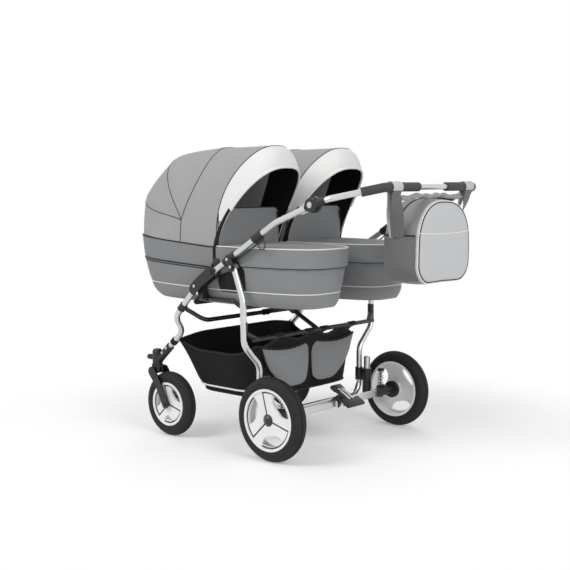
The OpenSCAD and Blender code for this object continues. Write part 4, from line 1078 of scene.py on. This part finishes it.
class PRAM_OT_hoods(PramOperator):
    """Makes each hood as one canopy with bows, seams, white visor and rolled hem"""
    bl_idname = "pram.hoods"
    bl_label = "Hoods"

    def build(self, sizes, colours):
        depth = sizes.hood_sag / MM
        rows_q = [3 * (k / 64) ** 1.55 for k in range(65)]
        turns = [180 - 180 * (0.5 - 0.5 * math.cos(math.pi * i / 56)) ** 0.9 for i in range(57)]

        def inside(k, i):
            """Black cloth behind the visor and along the ridge, which paints the shade deep inside the
            hood; light lining elsewhere.
            """
            return 4 if rows_q[k] > 1.7 or 52 < turns[i] < 128 else 1

        def ahead(p):
            """Distance of a point ahead of the visor's edge, in metres."""
            return min(p.y - AXLE_Y - visor_line(p.z / MM) * MM, p.z - VISOR_LOW * MM)

        for side, s in SIDES.items():
            cloth = Cloth()
            rows = [[hood_point(s, q, t, depth) for t in turns] for q in rows_q]
            rows[0] = [Vector((p.x, p.y, rows[0][0].z)) for p in rows[0]]
            skin = Cloth()
            skin.grid(rows)
            tree = BVHTree.FromPolygons(skin.points, skin.faces)
            cloth.shell(rows, 0.0032, 0, inside)
            for bow, bulge in zip(HOOD_BOWS, BOW_BULGE):
                cloth.tube(self.bow_line(s, tree, bow, bulge), sizes.seam_r, 2)
            cloth.tube(self.visor_seam(s, depth), sizes.seam_r * 1.2, 2)
            above = [t for t in turns if hood_point(s, 3, t).z > STRIP_TOP * MM]
            cloth.tube([hood_point(s, 3, t) for t in above], sizes.hem_r, 3, sides=10)
            cloth.tube([hood_point(s, 2.86, t) + Vector((0, 0, 0.0006)) for t in above], 0.0011, 3)
            low = [t for t in turns if hood_point(s, 3, t).z < STRIP_TOP * MM + 0.006]
            left_low, right_low = [t for t in low if t > 90], [t for t in low[::-1] if t <= 90]
            for e, way, ends in ((0, -1, left_low), (-1, 1, right_low)):
                cloth.tube([row[e] + Vector((0, 0, 0.001)) for row in rows], sizes.seam_r, 2)
                cloth.tube(self.drop_line(s, tree, way), sizes.seam_r, 2)
                strip = [hood_point(s, 2.93, t) + Vector((way * 0.0008, 0, 0)) for t in ends]
                across = [hood_point(s, 3, t) - hood_point(s, 2.7, t) for t in ends]
                cloth.band(strip, across, lambda u: 0.024 - 0.013 * u, 0.0022, 2)
            cloth.tag("ahead", ahead)
            finishes = ["hood", "lining", "seam", "white", "black_cloth"]
            piece = cloth.make(f"hood_canopy_{side}", finishes, crease=70)
            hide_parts(f"hood_rear_{side}", f"hood_front_{side}")
            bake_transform(piece)

    def bow_line(self, s, tree, bow, bulge):
        """Line of a bow on the hood, where a fan of rays from the pivot meets the cloth."""
        pivot = place(s * COT_X, *HOOD_PIVOT)
        line = []
        for lean in (math.pi * share for share in shares(120)):
            tilt = math.radians(bow + bulge * abs(math.sin(2 * lean)))
            up = Vector((0, math.cos(tilt), math.sin(tilt))) * math.sin(lean)
            hit = tree.ray_cast(pivot, Vector((math.cos(lean), 0, 0)) + up)[0]
            if hit is not None:
                line.append(hit + (hit - pivot).normalized() * 0.0003)
        return spread(line, 110)

    def visor_seam(self, s, depth):
        """Seam where the visor starts, found by halving on each arch."""
        seam = []
        for t in [4 + 172 * share for share in shares(80)]:
            low, high = 1.2, 3.0
            for _ in range(30):
                mid = (low + high) / 2
                p = hood_point(s, mid, t, depth)
                ahead = (p.y - AXLE_Y) / MM - visor_line(p.z / MM)
                low, high = (mid, high) if ahead < 0 else (low, mid)
            seam.append(hood_point(s, high, t, depth))
        return seam

    def drop_line(self, s, tree, way):
        """Short seam from the bows' pivot down to the rim, on one side of a hood."""
        down = []
        for share in shares(11):
            start = place(s * COT_X, HOOD_PIVOT[0] - 5 * share, HOOD_PIVOT[1] - 76 * share)
            hit = tree.ray_cast(start, Vector((way, 0, 0)))[0]
            if hit is not None:
                down.append(hit + Vector((way * 0.0003, 0, 0)))
        return down


def cushion_rings(half, foot, head, z, thick, crown, count=48):
    """Rings of a cushion's starting shape: drawn-in sides and a crowned top."""
    steps = [(8, 0), (2, 0.16), (0, 0.4), (3, 0.72), (12, 1)]
    rings = [(half - d, foot - d, head + d, z + share * thick) for d, share in steps]
    mid, reach = (foot + head) / 2, (foot - head) / 2
    for k in (0.8, 0.5, 0.2):
        rings.append((half * k, mid + reach * k, mid - reach * k, z + thick + crown * (1 - k * k)))
    found = []
    for a, f, h, level in rings:
        row = []
        for i in range(count):
            turn = 2 * math.pi * i / count
            x = COT_X + a * power(math.cos(turn), 2 / PLAN_POWER)
            y = (f + h) / 2 + (f - h) / 2 * power(math.sin(turn), 2 / PLAN_POWER)
            row.append(place(x, y, level))
        found.append(row)
    return found


def inflate(piece, cap):
    """Swells a closed piece with a short cloth simulation, each point moving at most the cap."""
    voxel, pressure, frames = 0.006, 4, 20
    only(piece)
    piece.data.remesh_voxel_size = voxel
    bpy.ops.object.voxel_remesh()
    rest = [v.co.copy() for v in piece.data.vertices]
    cloth = piece.modifiers.new("swell", "CLOTH")
    cloth.settings.use_pressure = True
    cloth.settings.uniform_pressure_force = pressure
    cloth.settings.effector_weights.gravity = 0
    scene = bpy.context.scene
    for number in range(1, frames + 1):
        scene.frame_set(number)
    moved = piece.evaluated_get(bpy.context.evaluated_depsgraph_get()).to_mesh()
    goal = [v.co.copy() for v in moved.vertices]
    piece.modifiers.remove(cloth)
    scene.frame_set(1)
    for vertex, old, new in zip(piece.data.vertices, rest, goal):
        step = new - old
        vertex.co = old + step * min(1.0, cap / max(step.length, 1e-9))
    bpy.ops.object.shade_smooth()


class PRAM_OT_bedding(PramOperator):
    """Makes the mattresses and pillows, swollen by simulation"""
    bl_idname = "pram.bedding"
    bl_label = "Bedding"

    def build(self, sizes, colours):
        foot, head = cot_foot(0.05) - 24, cot_head(0.05) + 24
        half = cot_half(0.05) - 19
        shapes = {
            "mattress": (half, foot, head, 530.0, 34.0, 6.0, 0.005),
            "pillow": (half - 26, head + 200, head + 30, 583.0, 24.0, 16.0, 0.009),
        }
        for name, (a, f, h, z, thick, crown, cap) in shapes.items():
            cloth = Cloth()
            rings = cushion_rings(a, f, h, z, thick, crown)
            first = cloth.grid(rings, 0, loop=True)
            for k in (0, -1):
                cloth.cap(first, rings, k)
            left = cloth.make(f"{name}_left", ["cotton"])
            inflate(left, cap)
            if name == "pillow":
                soft = left.modifiers.new("soft", "SUBSURF")
                soft.levels = soft.render_levels = 1
                only(left)
                bpy.ops.object.modifier_apply(modifier="soft")
            right = bpy.data.objects.new(f"{name}_right", left.data.copy())
            bpy.context.scene.collection.objects.link(right)
            right.data.transform(Matrix.Translation((-2 * COT_X * MM, 0, 0)))
            for side, piece in (("left", left), ("right", right)):
                ride(piece, f"carrycot_{side}", "bedding")
                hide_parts(f"bedding_{side}")


class PRAM_OT_basket(PramOperator):
    """Makes the cloth basket, with its ears, loops, piping and rear pockets"""
    bl_idname = "pram.basket"
    bl_label = "Basket"

    def point(self, turn, h, out=0.0):
        """Point of the basket's wall at a turn about its middle and a share of its height."""
        front = BASKET_FRONT + BASKET_SWEEP * (1 - h) ** 3
        c, s = math.cos(math.radians(turn)), math.sin(math.radians(turn))
        plan = BASKET_PLAN_FRONT if s < 0 else BASKET_PLAN_REAR
        across, along = power(c, plan), power(s, plan)
        x = (BASKET_W / 2 - BASKET_TAPER * (1 - h) ** 2 + out) * across
        y = (front + BASKET_REAR) / 2 + ((BASKET_REAR - front) / 2 + out) * along
        z = BASKET_Z + h * BASKET_H - BASKET_DIP * h * abs(c) ** 3
        p = Vector((x, y, z + BASKET_RISE * (1 - h) * max(0.0, -s) ** 2))
        sides = abs(x) / (BASKET_W / 2)
        if y < front + 70:
            near = smooth((sides - 0.66) / 0.24) * smooth((front + 80 - y) / 50) * smooth((h - 0.35) / 0.65)
            ear_x, ear_y, ear_z = LEG_CLIP[0] - 8, LEG_CLIP[1] + 11, LEG_CLIP[2] + 6 - 34 * (1 - h)
            p = p.lerp(Vector((math.copysign(ear_x, x), ear_y, ear_z)), 0.97 * near)
        if y > BASKET_REAR - 20:
            held = h ** 3 * smooth((0.98 - sides) / 0.1)
            p.z += held * (6 + 9 * math.cos(2 * math.pi * x / BASKET_WAVE))
            p.y += held * 20
        fold = ripple(Vector((p.x, p.y, p.z * 0.4)) * MM, 14.0, 6.0) * 3.2 + ripple(p * MM, 36.0, 1.0) * 1.1
        push = Vector((across, along, 0)).normalized() * fold
        return place(*(p + push * math.sin(math.pi * clamp(h))))

    def build(self, sizes, colours):
        count, rim_r, rounded = 132, 0.0042, 0.04
        far = run([self.point(t, 0.8) for t in range(360)], True)
        spots = [k + share for k, share in even_steps(far, count, True)]
        heights = [0.0, 0.015, 0.04, 0.08, 0.13] + [0.2 + 0.08 * i for i in range(10)] + [0.96, 1]
        cloth = Cloth()
        rows = []
        for h in heights:
            inset = -10 * (1 - h / rounded) if h < rounded else 0
            rows.append([self.point(t, h, inset) for t in spots])
        first = cloth.shell(rows, 0.0028, 0, 0, loop=True, ends=(-1,))
        floor = sum(rows[0], Vector()) / count
        for base, lift in ((first, 0), (first + count * len(rows), 0.004)):
            cloth.fan(row_of(base, count), floor + Vector((0, 0, lift)), 0)
        cloth.tube(rows[-1], rim_r, 1, loop=True)
        limit = place(0, BASKET_PIPING_Y, 0).y
        ahead = [t for t in spots if self.point(t, BASKET_PIPING).y < limit]
        around = [t for t in ahead if t > 90] + [t for t in ahead if t < 90]
        cloth.tube([self.point(t, BASKET_PIPING, 1.2) for t in around], 0.0034, 2)
        cloth.tube([self.point(t, 0.03, 1.0) for t in spots], 0.003, 1, loop=True)
        for e in (-1, 1):
            self.leg_loop(cloth, e)
            for x in BASKET_LOOPS:
                self.tube_loop(cloth, e * x)
        piece = cloth.make("basket_cloth", ["black_cloth", "webbing", "white"])
        ride(piece, "chassis", "black_cloth", "basket")
        self.fold(piece)
        for side, s in SIDES.items():
            self.pocket(side, s)

    def leg_loop(self, cloth, e):
        """Webbing ring round a front leg, which holds the basket's ear."""
        clip = on_side(e, LEG_CLIP)
        across = Vector((1, 0, 0))
        up = across.cross(LEG_DIR)
        turns = [2 * math.pi * share for share in shares(28)]
        ring = [clip + (across * math.cos(a) + up * math.sin(a)) * 0.0128 for a in turns]
        cloth.band(ring, LEG_DIR, 0.02, 0.0026, 1)

    def tube_loop(self, cloth, x):
        """Strap round the rear cross tube, whose tail runs down the basket's rear wall."""
        y, z = REAR_TUBE
        r, width, thick = BRACE_R + 1.6, 0.036, 0.0022
        across = Vector((1, 0, 0))
        turns = [math.radians(250 - 250 * share) for share in shares(18)]
        path = [place(x, y + r * math.cos(a), z + r * math.sin(a)) for a in turns]
        back = [place(x, y - 3, z - r)]
        for share, level in ((0.55, 391), (0.25, 382), (0.02, 370), (0.0, 352)):
            back.append(place(x, BASKET_REAR + 4 + (y + 1 - BASKET_REAR) * share, level))
        cloth.band(path + [path[-1].lerp(back[0], 0.5)], across, width, thick, 1)
        cloth.band(back, across, width, thick, 1)

    def pocket(self, side, s):
        """A gathered pocket on the basket's rear face."""
        cloth = Cloth()
        (near, far), (low, high) = POCKET_X, POCKET_Z
        rows = []
        for v in shares(22):
            inner, outer = near + 8 * (1 - v) ** 4, far - 46 * (1 - v) - 34 * (1 - v) ** 4
            row = []
            for u in shares(60):
                x = inner + (outer - inner) * u
                top = high - 14 * math.sin(math.pi * u)
                under = low + 40 * max(0.0, 2 * u - 1) ** 2.5 + 22 * max(0.0, 1 - 2 * u) ** 5
                z = under + (top - under) * v
                belly = 30 * (math.sin(math.pi * u) ** 0.55) * math.sin(math.pi * (0.06 + 0.8 * v)) ** 0.8
                gather = (math.sin(u * 74) + 0.6 * math.sin(u * 121 + 1)) * 1.9 * v ** 3
                crease = ripple(Vector((x, 0, z)) * MM, 20.0, s * 3.0) * 3.0 * math.sin(math.pi * v)
                hold = math.sin(math.pi * u) ** 0.4
                y = BASKET_REAR + 3.5 + belly + (gather + crease) * hold
                row.append(place(s * x, min(y, POCKET_LIMIT_Y), z))
            rows.append(row if s > 0 else row[::-1])
        cloth.shell([row[::-1] for row in rows], 0.0016, 0, 0)
        cloth.tube(rows[-1], 0.0042, 1)
        outline = [row[0] for row in rows[::-1]] + rows[0] + [row[-1] for row in rows]
        cloth.tube(outline, 0.0026, 1)
        piece = cloth.make(f"basket_pocket_{side}", ["pocket", "webbing"])
        ride(piece, "chassis", "body_cloth")
        self.fold(piece)

    def fold(self, piece):
        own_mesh(piece)


class PRAM_OT_bag(PramOperator):
    """Makes the bag as a soft shell with panels, piping, pockets and straps"""
    bl_idname = "pram.bag"
    bl_label = "Bag"

    def outline(self, inset, count):
        """Arched outline of the bag, as across and up, from the middle of its underside."""
        half = BAG_W / 2
        flat = half - BAG_CORNER
        low = BAG_Z + BAG_CORNER
        corner = BAG_CORNER - inset
        bends = (
            (flat, low, corner, -90, 0, 2),
            (0, BAG_ARCH_Z, half - inset, 0, 180, BAG_ARCH_POWER),
            (-flat, low, corner, 180, 270, 2),
        )
        line = [Vector((0, 0, BAG_Z + inset))]
        for x, z, r, start, stop, bulge in bends:
            for i in range(41):
                a = math.radians(start + (stop - start) * i / 40)
                across, up = power(math.cos(a), 2 / bulge), power(math.sin(a), 2 / bulge)
                line.append(Vector((x + r * across, 0, z + r * up)))
        return [(p.x, p.z) for p in spread(line, count, loop=True)]

    def build(self, sizes, colours):
        cloth = Cloth()
        front = BAG_REAR - BAG_D
        count, slack, deepest = 120, 36.0, 118.0
        insets = [104, 76, 50, 30, 20, 12, 6, 2.5]
        depths = (0.1, 0.25, 0.4, 0.55, 0.7, 0.85, 0.93)
        steps = []
        for d in insets:
            steps.append((d, front + 9 * (1 - min(1, d / 20)) ** 2 - 5 * (1 - (1 - d / 110) ** 2)))
        for u in depths:
            steps.append((-3.5 * math.sin(math.pi * u), front + BAG_D * u))
        for d in reversed(insets):
            steps.append((d, BAG_REAR - 7 * (1 - min(1, d / 14)) ** 2 + 11 * (1 - (1 - d / 110) ** 2)))
        rows = []
        for d, y in steps:
            row = []
            for x, z in self.outline(min(d, slack), count):
                if d > slack:
                    share = (d - slack) / (deepest - slack)
                    x, z = x * (1 - share), z + (BAG_MID_Z - z) * share
                p = place(x, y, z)
                broad = ripple(Vector((p.x, p.y, p.z * 0.45)), 17.0, 9.0)
                crease = broad * 2.4 + ripple(p, 45.0, 2.0) * 0.8
                out = Vector((0, 1 if y > 380 else -1, 0))
                if abs(d) < 14:
                    out = Vector((x, 0, z - BAG_MID_Z)).normalized()
                row.append(p + out * crease * MM)
            rows.append(row)
        rear_from = len(insets) + len(depths)
        first = cloth.grid(rows, lambda k, i: 0 if k >= rear_from - 1 else 5, loop=True)
        for k, kind in ((0, 5), (-1, 0)):
            cloth.cap(first, rows, k, kind)
        piping = [p + Vector((0, 0.001, 0)) for p in rows[rear_from]]
        cloth.tube(piping, sizes.piping_r * 1.15, 2, loop=True)
        cloth.tube([p + Vector((0, 0.0006, 0)) for p in rows[rear_from + 1]], 0.0017, 3, loop=True)
        arch = [p for p in rows[len(insets) + 2] if p.z > 0.7]
        gap = max(range(len(arch)), key=lambda i: (arch[i] - arch[i - 1]).length)
        cloth.tube(arch[gap:] + arch[:gap], 0.0026, 3)
        self.rear_line(cloth, sizes)
        for s in (-1, 1):
            self.side_pocket(cloth, s, front)
            self.strap(cloth, sizes, s)
        self.roll(cloth)
        piece = cloth.make("bag_shell", ["bag", "bag_side", "white", "seam", "roll", "gusset"], crease=60)
        ride(piece, "bag", "body_cloth", "bag")

    def rear_line(self, cloth, sizes):
        """White piping across the rear panel."""
        tree = BVHTree.FromPolygons(cloth.points, cloth.faces)
        line = []
        for i in range(41):
            x = -BAG_LINE_X + 2 * BAG_LINE_X * i / 40
            start = place(x, BAG_REAR + 80, BAG_LINE_Z - 5 * (1 - (x / BAG_LINE_X) ** 2))
            hit = tree.ray_cast(start, Vector((0, -1, 0)))[0]
            if hit is not None:
                line.append(hit + Vector((0, 0.0006, 0)))
        cloth.tube(line, sizes.piping_r * 0.9, 2)

    def side_pocket(self, cloth, s, front):
        """Swollen pocket on one end of the bag."""
        rows = []
        for v in shares(14):
            row = []
            for u in shares(20):
                y = front + 8 + (BAG_D - 18) * u
                z = BAG_Z + 6 + 154 * v
                below = max(0.0, BAG_CORNER + BAG_Z - z)
                wall = BAG_W / 2 - BAG_CORNER + math.sqrt(BAG_CORNER ** 2 - below ** 2)
                swell = 22 * math.sin(math.pi * u) ** 0.6 * math.sin(math.pi * (0.04 + 0.8 * v)) ** 0.7
                p = place(s * (wall + 2.2 + swell), y, z)
                row.append(p + Vector((s * ripple(p, 26.0, 5.0) * 0.0022 * math.sin(math.pi * u), 0, 0)))
            rows.append(row)
        cloth.shell(rows if s > 0 else [row[::-1] for row in rows], 0.0016, 1, 1)
        cloth.tube(rows[-1], 0.0024, 3)

    def strap(self, cloth, sizes, s):
        """Strap round the grip, with one end on the bag's side and one on its front."""
        r = GRIP_R + 2.0
        turns = [math.radians(-40 + 260 * share) for share in shares(26)]
        loop = [place(s * STRAP_X, BAR[0] + r * math.cos(a), BAR[1] + r * math.sin(a)) for a in turns]
        side = Vector((s, 0, 0))
        cloth.band(loop, side, sizes.strap_w * 1.15, 0.0024, 0)
        rear_fall = ((212, 396, 900), (203, 392, 866), (192, 386, 828), (182, 380, 794), (174, 376, 766))
        front_fall = ((209, 376, 898), (198, 372, 864), (186, 368, 828), (176, 366, 794), (168, 366, 766))
        steps = 18
        twist = [side.lerp(Vector((0.3 * s, -1, 0)), smooth(i / (steps - 1))) for i in range(steps)]
        for kind, start, spots in ((1, loop[0], rear_fall), (0, loop[-1], front_fall)):
            path = [start] + [on_side(s, spot) for spot in spots]
            cloth.band(spread(path, steps), twist, sizes.strap_w, 0.0024, kind)

    def roll(self, cloth):
        """Rolled strap that lies under the handle, on top of the bag."""
        for start in (0.0, math.pi):
            path = []
            for i in range(91):
                x = ROLL_HALF - 2 * ROLL_HALF * i / 90
                a = start + i * 0.21 + 0.5 * math.sin(i * 0.13)
                sag = 0.0002 * x * x + 1.6 * math.sin(i * 0.19)
                path.append(place(x, BAR[0] - 4 + 4.6 * math.cos(a), ROLL_Z + 3.4 * math.sin(a) - sag))
            cloth.tube(path, lambda u: (6.0 + 0.8 * math.sin(u * 37 + start)) * MM, 4, sides=12)


class PRAM_OT_springs(PramOperator):
    """Winds the coil springs of the rear axle"""
    bl_idname = "pram.springs"
    bl_label = "Springs"

    def build(self, sizes, colours):
        steps, play = SPRING_TURNS * 20, 0.2
        wire_r = SPRING_WIRE / 2
        rise = SPRING_H - SPRING_WIRE - 2 * play
        for side, s in SIDES.items():
            path = []
            for u in shares(steps):
                a = 2 * math.pi * SPRING_TURNS * u
                ease = u - 0.045 * math.sin(4 * math.pi * u)
                x, y = SPRING_X + SPRING_R * math.cos(a), SPRING_Y + SPRING_R * math.sin(a)
                path.append(place(s * x, y, SPRING_Z + wire_r + play + rise * ease))
            cloth = Cloth()
            cloth.tube(path, wire_r * MM, 0, sides=10)
            piece = cloth.make(f"coil_spring_{side}", ["chrome"], crease=60)
            ride(piece, "rear_frame", "steel", f"spring_{side}")
            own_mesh(piece)


class PRAM_OT_fittings(PramOperator):
    """Models the rivets, adapters and their loops, and the pedal's strips and moulding"""
    bl_idname = "pram.fittings"
    bl_label = "Fittings"

    def start(self, name, finish):
        piece = bpy.context.active_object
        piece.name = piece.data.name = name
        piece.data.materials.append(FINISH[finish])
        return piece

    def rivet(self, name, r, tall):
        """Domed head with a dished middle, pointing up +X from the origin."""
        bpy.ops.object.select_all(action="DESELECT")
        bpy.ops.mesh.primitive_cylinder_add(vertices=24, radius=r, depth=tall, location=(0, 0, 0),
                                            rotation=(0, math.pi / 2, 0))
        piece = self.start(name, "chrome")
        bpy.ops.object.transform_apply(rotation=True)
        bpy.ops.object.mode_set(mode="EDIT")
        bpy.ops.mesh.select_all(action="DESELECT")
        bpy.ops.object.mode_set(mode="OBJECT")
        for face in piece.data.polygons:
            face.select = face.normal.x > 0.9
        bpy.ops.object.mode_set(mode="EDIT")
        bpy.ops.mesh.inset(thickness=r * 0.28, depth=tall * 0.25)
        bpy.ops.mesh.inset(thickness=r * 0.3, depth=0)
        bpy.ops.mesh.inset(thickness=r * 0.08, depth=-tall * 0.3)
        bpy.ops.object.mode_set(mode="OBJECT")
        tidy(piece, 35)
        return piece

    def block(self, name, size, finish, bevel):
        """Rounded block about the origin, its size and bevel in millimetres."""
        bpy.ops.object.select_all(action="DESELECT")
        bpy.ops.mesh.primitive_cube_add(size=1, location=(0, 0, 0))
        piece = self.start(name, finish)
        piece.scale = [d * MM for d in size]
        bpy.ops.object.transform_apply(scale=True)
        bpy.ops.object.mode_set(mode="EDIT")
        bpy.ops.mesh.select_all(action="SELECT")
        bpy.ops.mesh.bevel(offset=bevel * MM, segments=3, affect="EDGES")
        bpy.ops.object.mode_set(mode="OBJECT")
        tidy(piece, 35)
        return piece

    def copies(self, pattern, name, spots, body, slot):
        """Places copies of a pattern by matrices, joined to one piece."""
        made = []
        for matrix in spots:
            copy = bpy.data.objects.new(name, pattern.data.copy())
            bpy.context.scene.collection.objects.link(copy)
            copy.data.transform(matrix)
            if matrix.determinant() < 0:
                copy.data.flip_normals()
            made.append(copy)
        bpy.ops.object.select_all(action="DESELECT")
        for copy in made:
            copy.select_set(True)
        bpy.context.view_layer.objects.active = made[0]
        if len(made) > 1:
            bpy.ops.object.join()
        piece = bpy.context.active_object
        piece.name = name
        return ride(piece, body, slot)

    def build(self, sizes, colours):
        rivet = self.rivet("rivet_pattern", RIVET_R * MM, RIVET_H * MM)
        adapter = self.block("adapter_pattern", ADAPTER_SIZE, "plastic", ADAPTER_BEVEL)
        for side, s in SIDES.items():
            mirror = Matrix.Scale(s, 4, (1, 0, 0))
            for body, spots in RIVETS.items():
                places = [mirror @ Matrix.Translation(place(*p)) for p in spots]
                self.copies(rivet, f"rivets_{body}_{side}", places, body, "steel")
        for side, s in SIDES.items():
            spot = Matrix.Translation(on_side(s, ADAPTER_SPOT))
            self.copies(adapter, f"cot_adapter_{side}", [spot], f"carrycot_{side}", "black_plastic")
        tilt = Matrix.Rotation(PEDAL_SLOPE, 4, "X")
        strip = self.block("strip_pattern", STRIP_SIZE, "chrome", STRIP_BEVEL)
        raised = place(*STRIP_SPOT) + tilt @ Vector((0, 0, STRIP_LIFT * MM))
        spots = [Matrix.Translation(raised + Vector((e * STRIP_X * MM, 0, 0))) @ tilt for e in (-1, 1)]
        self.copies(strip, "pedal_strips", spots, "brake_pedal", "steel")
        for pattern in (rivet, adapter, strip):
            bpy.data.objects.remove(pattern)
        self.pedal(tilt)
        self.oval_loops()

    def pedal(self, tilt):
        """Rounded moulding over the pedal's tread: a waist between a knob and a broad bar."""
        for name, (size, along) in PEDAL_BLOCKS.items():
            piece = self.block(f"pedal_{name}", size, "plastic", PEDAL_BEVEL)
            shift = Matrix.Translation((0, along * MM, 0))
            piece.data.transform(Matrix.Translation(place(*PEDAL_SPOT)) @ tilt @ shift)
            ride(piece, "brake_pedal", "black_plastic")

    def oval_loops(self):
        """Pull loops of the carrycots' adapters."""
        for side, s in SIDES.items():
            bpy.ops.object.select_all(action="DESELECT")
            bpy.ops.mesh.primitive_torus_add(
                major_radius=LOOP_R * MM, minor_radius=LOOP_WIRE_R * MM,
                major_segments=40, minor_segments=10, location=(0, 0, 0), rotation=(0, math.pi / 2, 0))
            loop = self.start(f"adapter_loop_{side}", "plastic")
            bpy.ops.object.transform_apply(rotation=True)
            tidy(loop, 60)
            tall = Matrix.Rotation(math.radians(LOOP_LEAN), 4, "X") @ Matrix.Diagonal((1.0, 0.8, 1.55, 1.0))
            loop.data.transform(Matrix.Translation(on_side(s, LOOP_SPOT)) @ tall)
            ride(loop, f"carrycot_{side}", "black_plastic")


class PRAM_OT_stage(PramOperator):
    """Sets the floor, the light and the camera"""
    bl_idname = "pram.stage"
    bl_label = "Stage"

    def build(self, sizes, colours):
        scene = bpy.context.scene
        scene.view_settings.view_transform = "Standard"
        self.floor()
        self.world(scene)
        for name, (spot, watts) in LAMPS.items():
            data = bpy.data.lights.new(name, "AREA")
            data.energy = watts
            data.size = LAMP_SIZE
            lamp = bpy.data.objects.new(name, data)
            lamp.location = spot
            self.aim(lamp, Vector((0, 0, 0.5)) - lamp.location)
        camera = bpy.data.objects.new("camera", bpy.data.cameras.new("camera"))
        camera.data.sensor_width = SENSOR
        camera.data.lens = SENSOR * FOCAL / PICTURE
        camera.location = place(*CAMERA_SPOT)
        self.aim(camera, Vector(CAMERA_LOOK))
        scene.camera = camera

    def aim(self, item, look):
        """Turns a lamp or camera to look in a direction, and puts it in the scene."""
        item.rotation_euler = look.to_track_quat("-Z", "Y").to_euler()
        bpy.context.scene.collection.objects.link(item)

    def floor(self):
        """Pale floor that fades out at its rim."""
        bpy.ops.object.select_all(action="DESELECT")
        bpy.ops.mesh.primitive_circle_add(vertices=96, radius=6, fill_type="NGON", location=(0, 0, 0))
        floor = bpy.context.active_object
        floor.name = "floor"
        f = Finish("pale_floor", Roughness=0.7, Base_Color=(0.92, 0.92, 0.92), Specular_IOR_Level=0.1,
                   Emission_Color=(1, 1, 1), Emission_Strength=0.2)
        x, y, _ = f.axes(f.where())
        far = (x * x + y * y) ** 0.5
        fade = f.node("ShaderNodeMapRange", {"clamp": True, "interpolation_type": "SMOOTHSTEP"},
                      {0: far, 1: 0.7, 2: 1.5, 3: 0.0, 4: 1.0})
        clear = f.node("ShaderNodeBsdfTransparent", {}, {})
        out = f.tree.nodes["Material Output"]
        blend = f.node("ShaderNodeMixShader", {}, {0: fade, 1: Value(f, f.shader.outputs[0]), 2: clear})
        f.tree.links.new(blend.socket, out.inputs["Surface"])
        floor.data.materials.append(f.material)

    def world(self, scene):
        """White surroundings, dimmer as a light than as they are seen."""
        world = bpy.data.worlds.new("studio")
        scene.world = world
        world.use_nodes = True
        tree = world.node_tree
        sky = tree.nodes["Background"]
        path = tree.nodes.new("ShaderNodeLightPath")
        seen = path.outputs["Is Camera Ray"]
        for ray in ("Is Glossy Ray", "Is Transmission Ray"):
            either = tree.nodes.new("ShaderNodeMath")
            either.operation = "MAXIMUM"
            tree.links.new(seen, either.inputs[0])
            tree.links.new(path.outputs[ray], either.inputs[1])
            seen = either.outputs[0]
        level = tree.nodes.new("ShaderNodeMapRange")
        tree.links.new(seen, level.inputs[0])
        level.inputs[3].default_value = SKY_LEVEL
        level.inputs[4].default_value = 1.0
        tree.links.new(level.outputs[0], sky.inputs["Strength"])
        sky.inputs["Color"].default_value = (1, 1, 1, 1)


STEPS = (
    PRAM_OT_stage, PRAM_OT_finishes, PRAM_OT_frame, PRAM_OT_cots, PRAM_OT_aprons, PRAM_OT_flaps,
    PRAM_OT_hoods, PRAM_OT_bedding, PRAM_OT_basket, PRAM_OT_bag, PRAM_OT_springs, PRAM_OT_fittings)


class PRAM_PT_panel(bpy.types.Panel):
    """Lists the steps of the pram"""
    bl_idname = "PRAM_PT_panel"
    bl_label = "Twin pram"
    bl_space_type = "VIEW_3D"
    bl_region_type = "UI"
    bl_category = "Pram"

    def draw(self, context):
        for step in STEPS:
            self.layout.operator(step.bl_idname)
        for group in (context.scene.pram_sizes, context.scene.pram_colours):
            for key in group.__annotations__:
                self.layout.prop(group, key)


CLASSES = (PramSizes, PramColours, *STEPS, PRAM_PT_panel)


def register():
    for item in CLASSES:
        bpy.utils.register_class(item)
    bpy.types.Scene.pram_sizes = PointerProperty(type=PramSizes)
    bpy.types.Scene.pram_colours = PointerProperty(type=PramColours)


def unregister():
    del bpy.types.Scene.pram_colours
    del bpy.types.Scene.pram_sizes
    for item in reversed(CLASSES):
        bpy.utils.unregister_class(item)


def main():
    register()
    for step in STEPS:
        group, name = step.bl_idname.split(".")
        getattr(getattr(bpy.ops, group), name)()


if __name__ == "__main__":
    main()
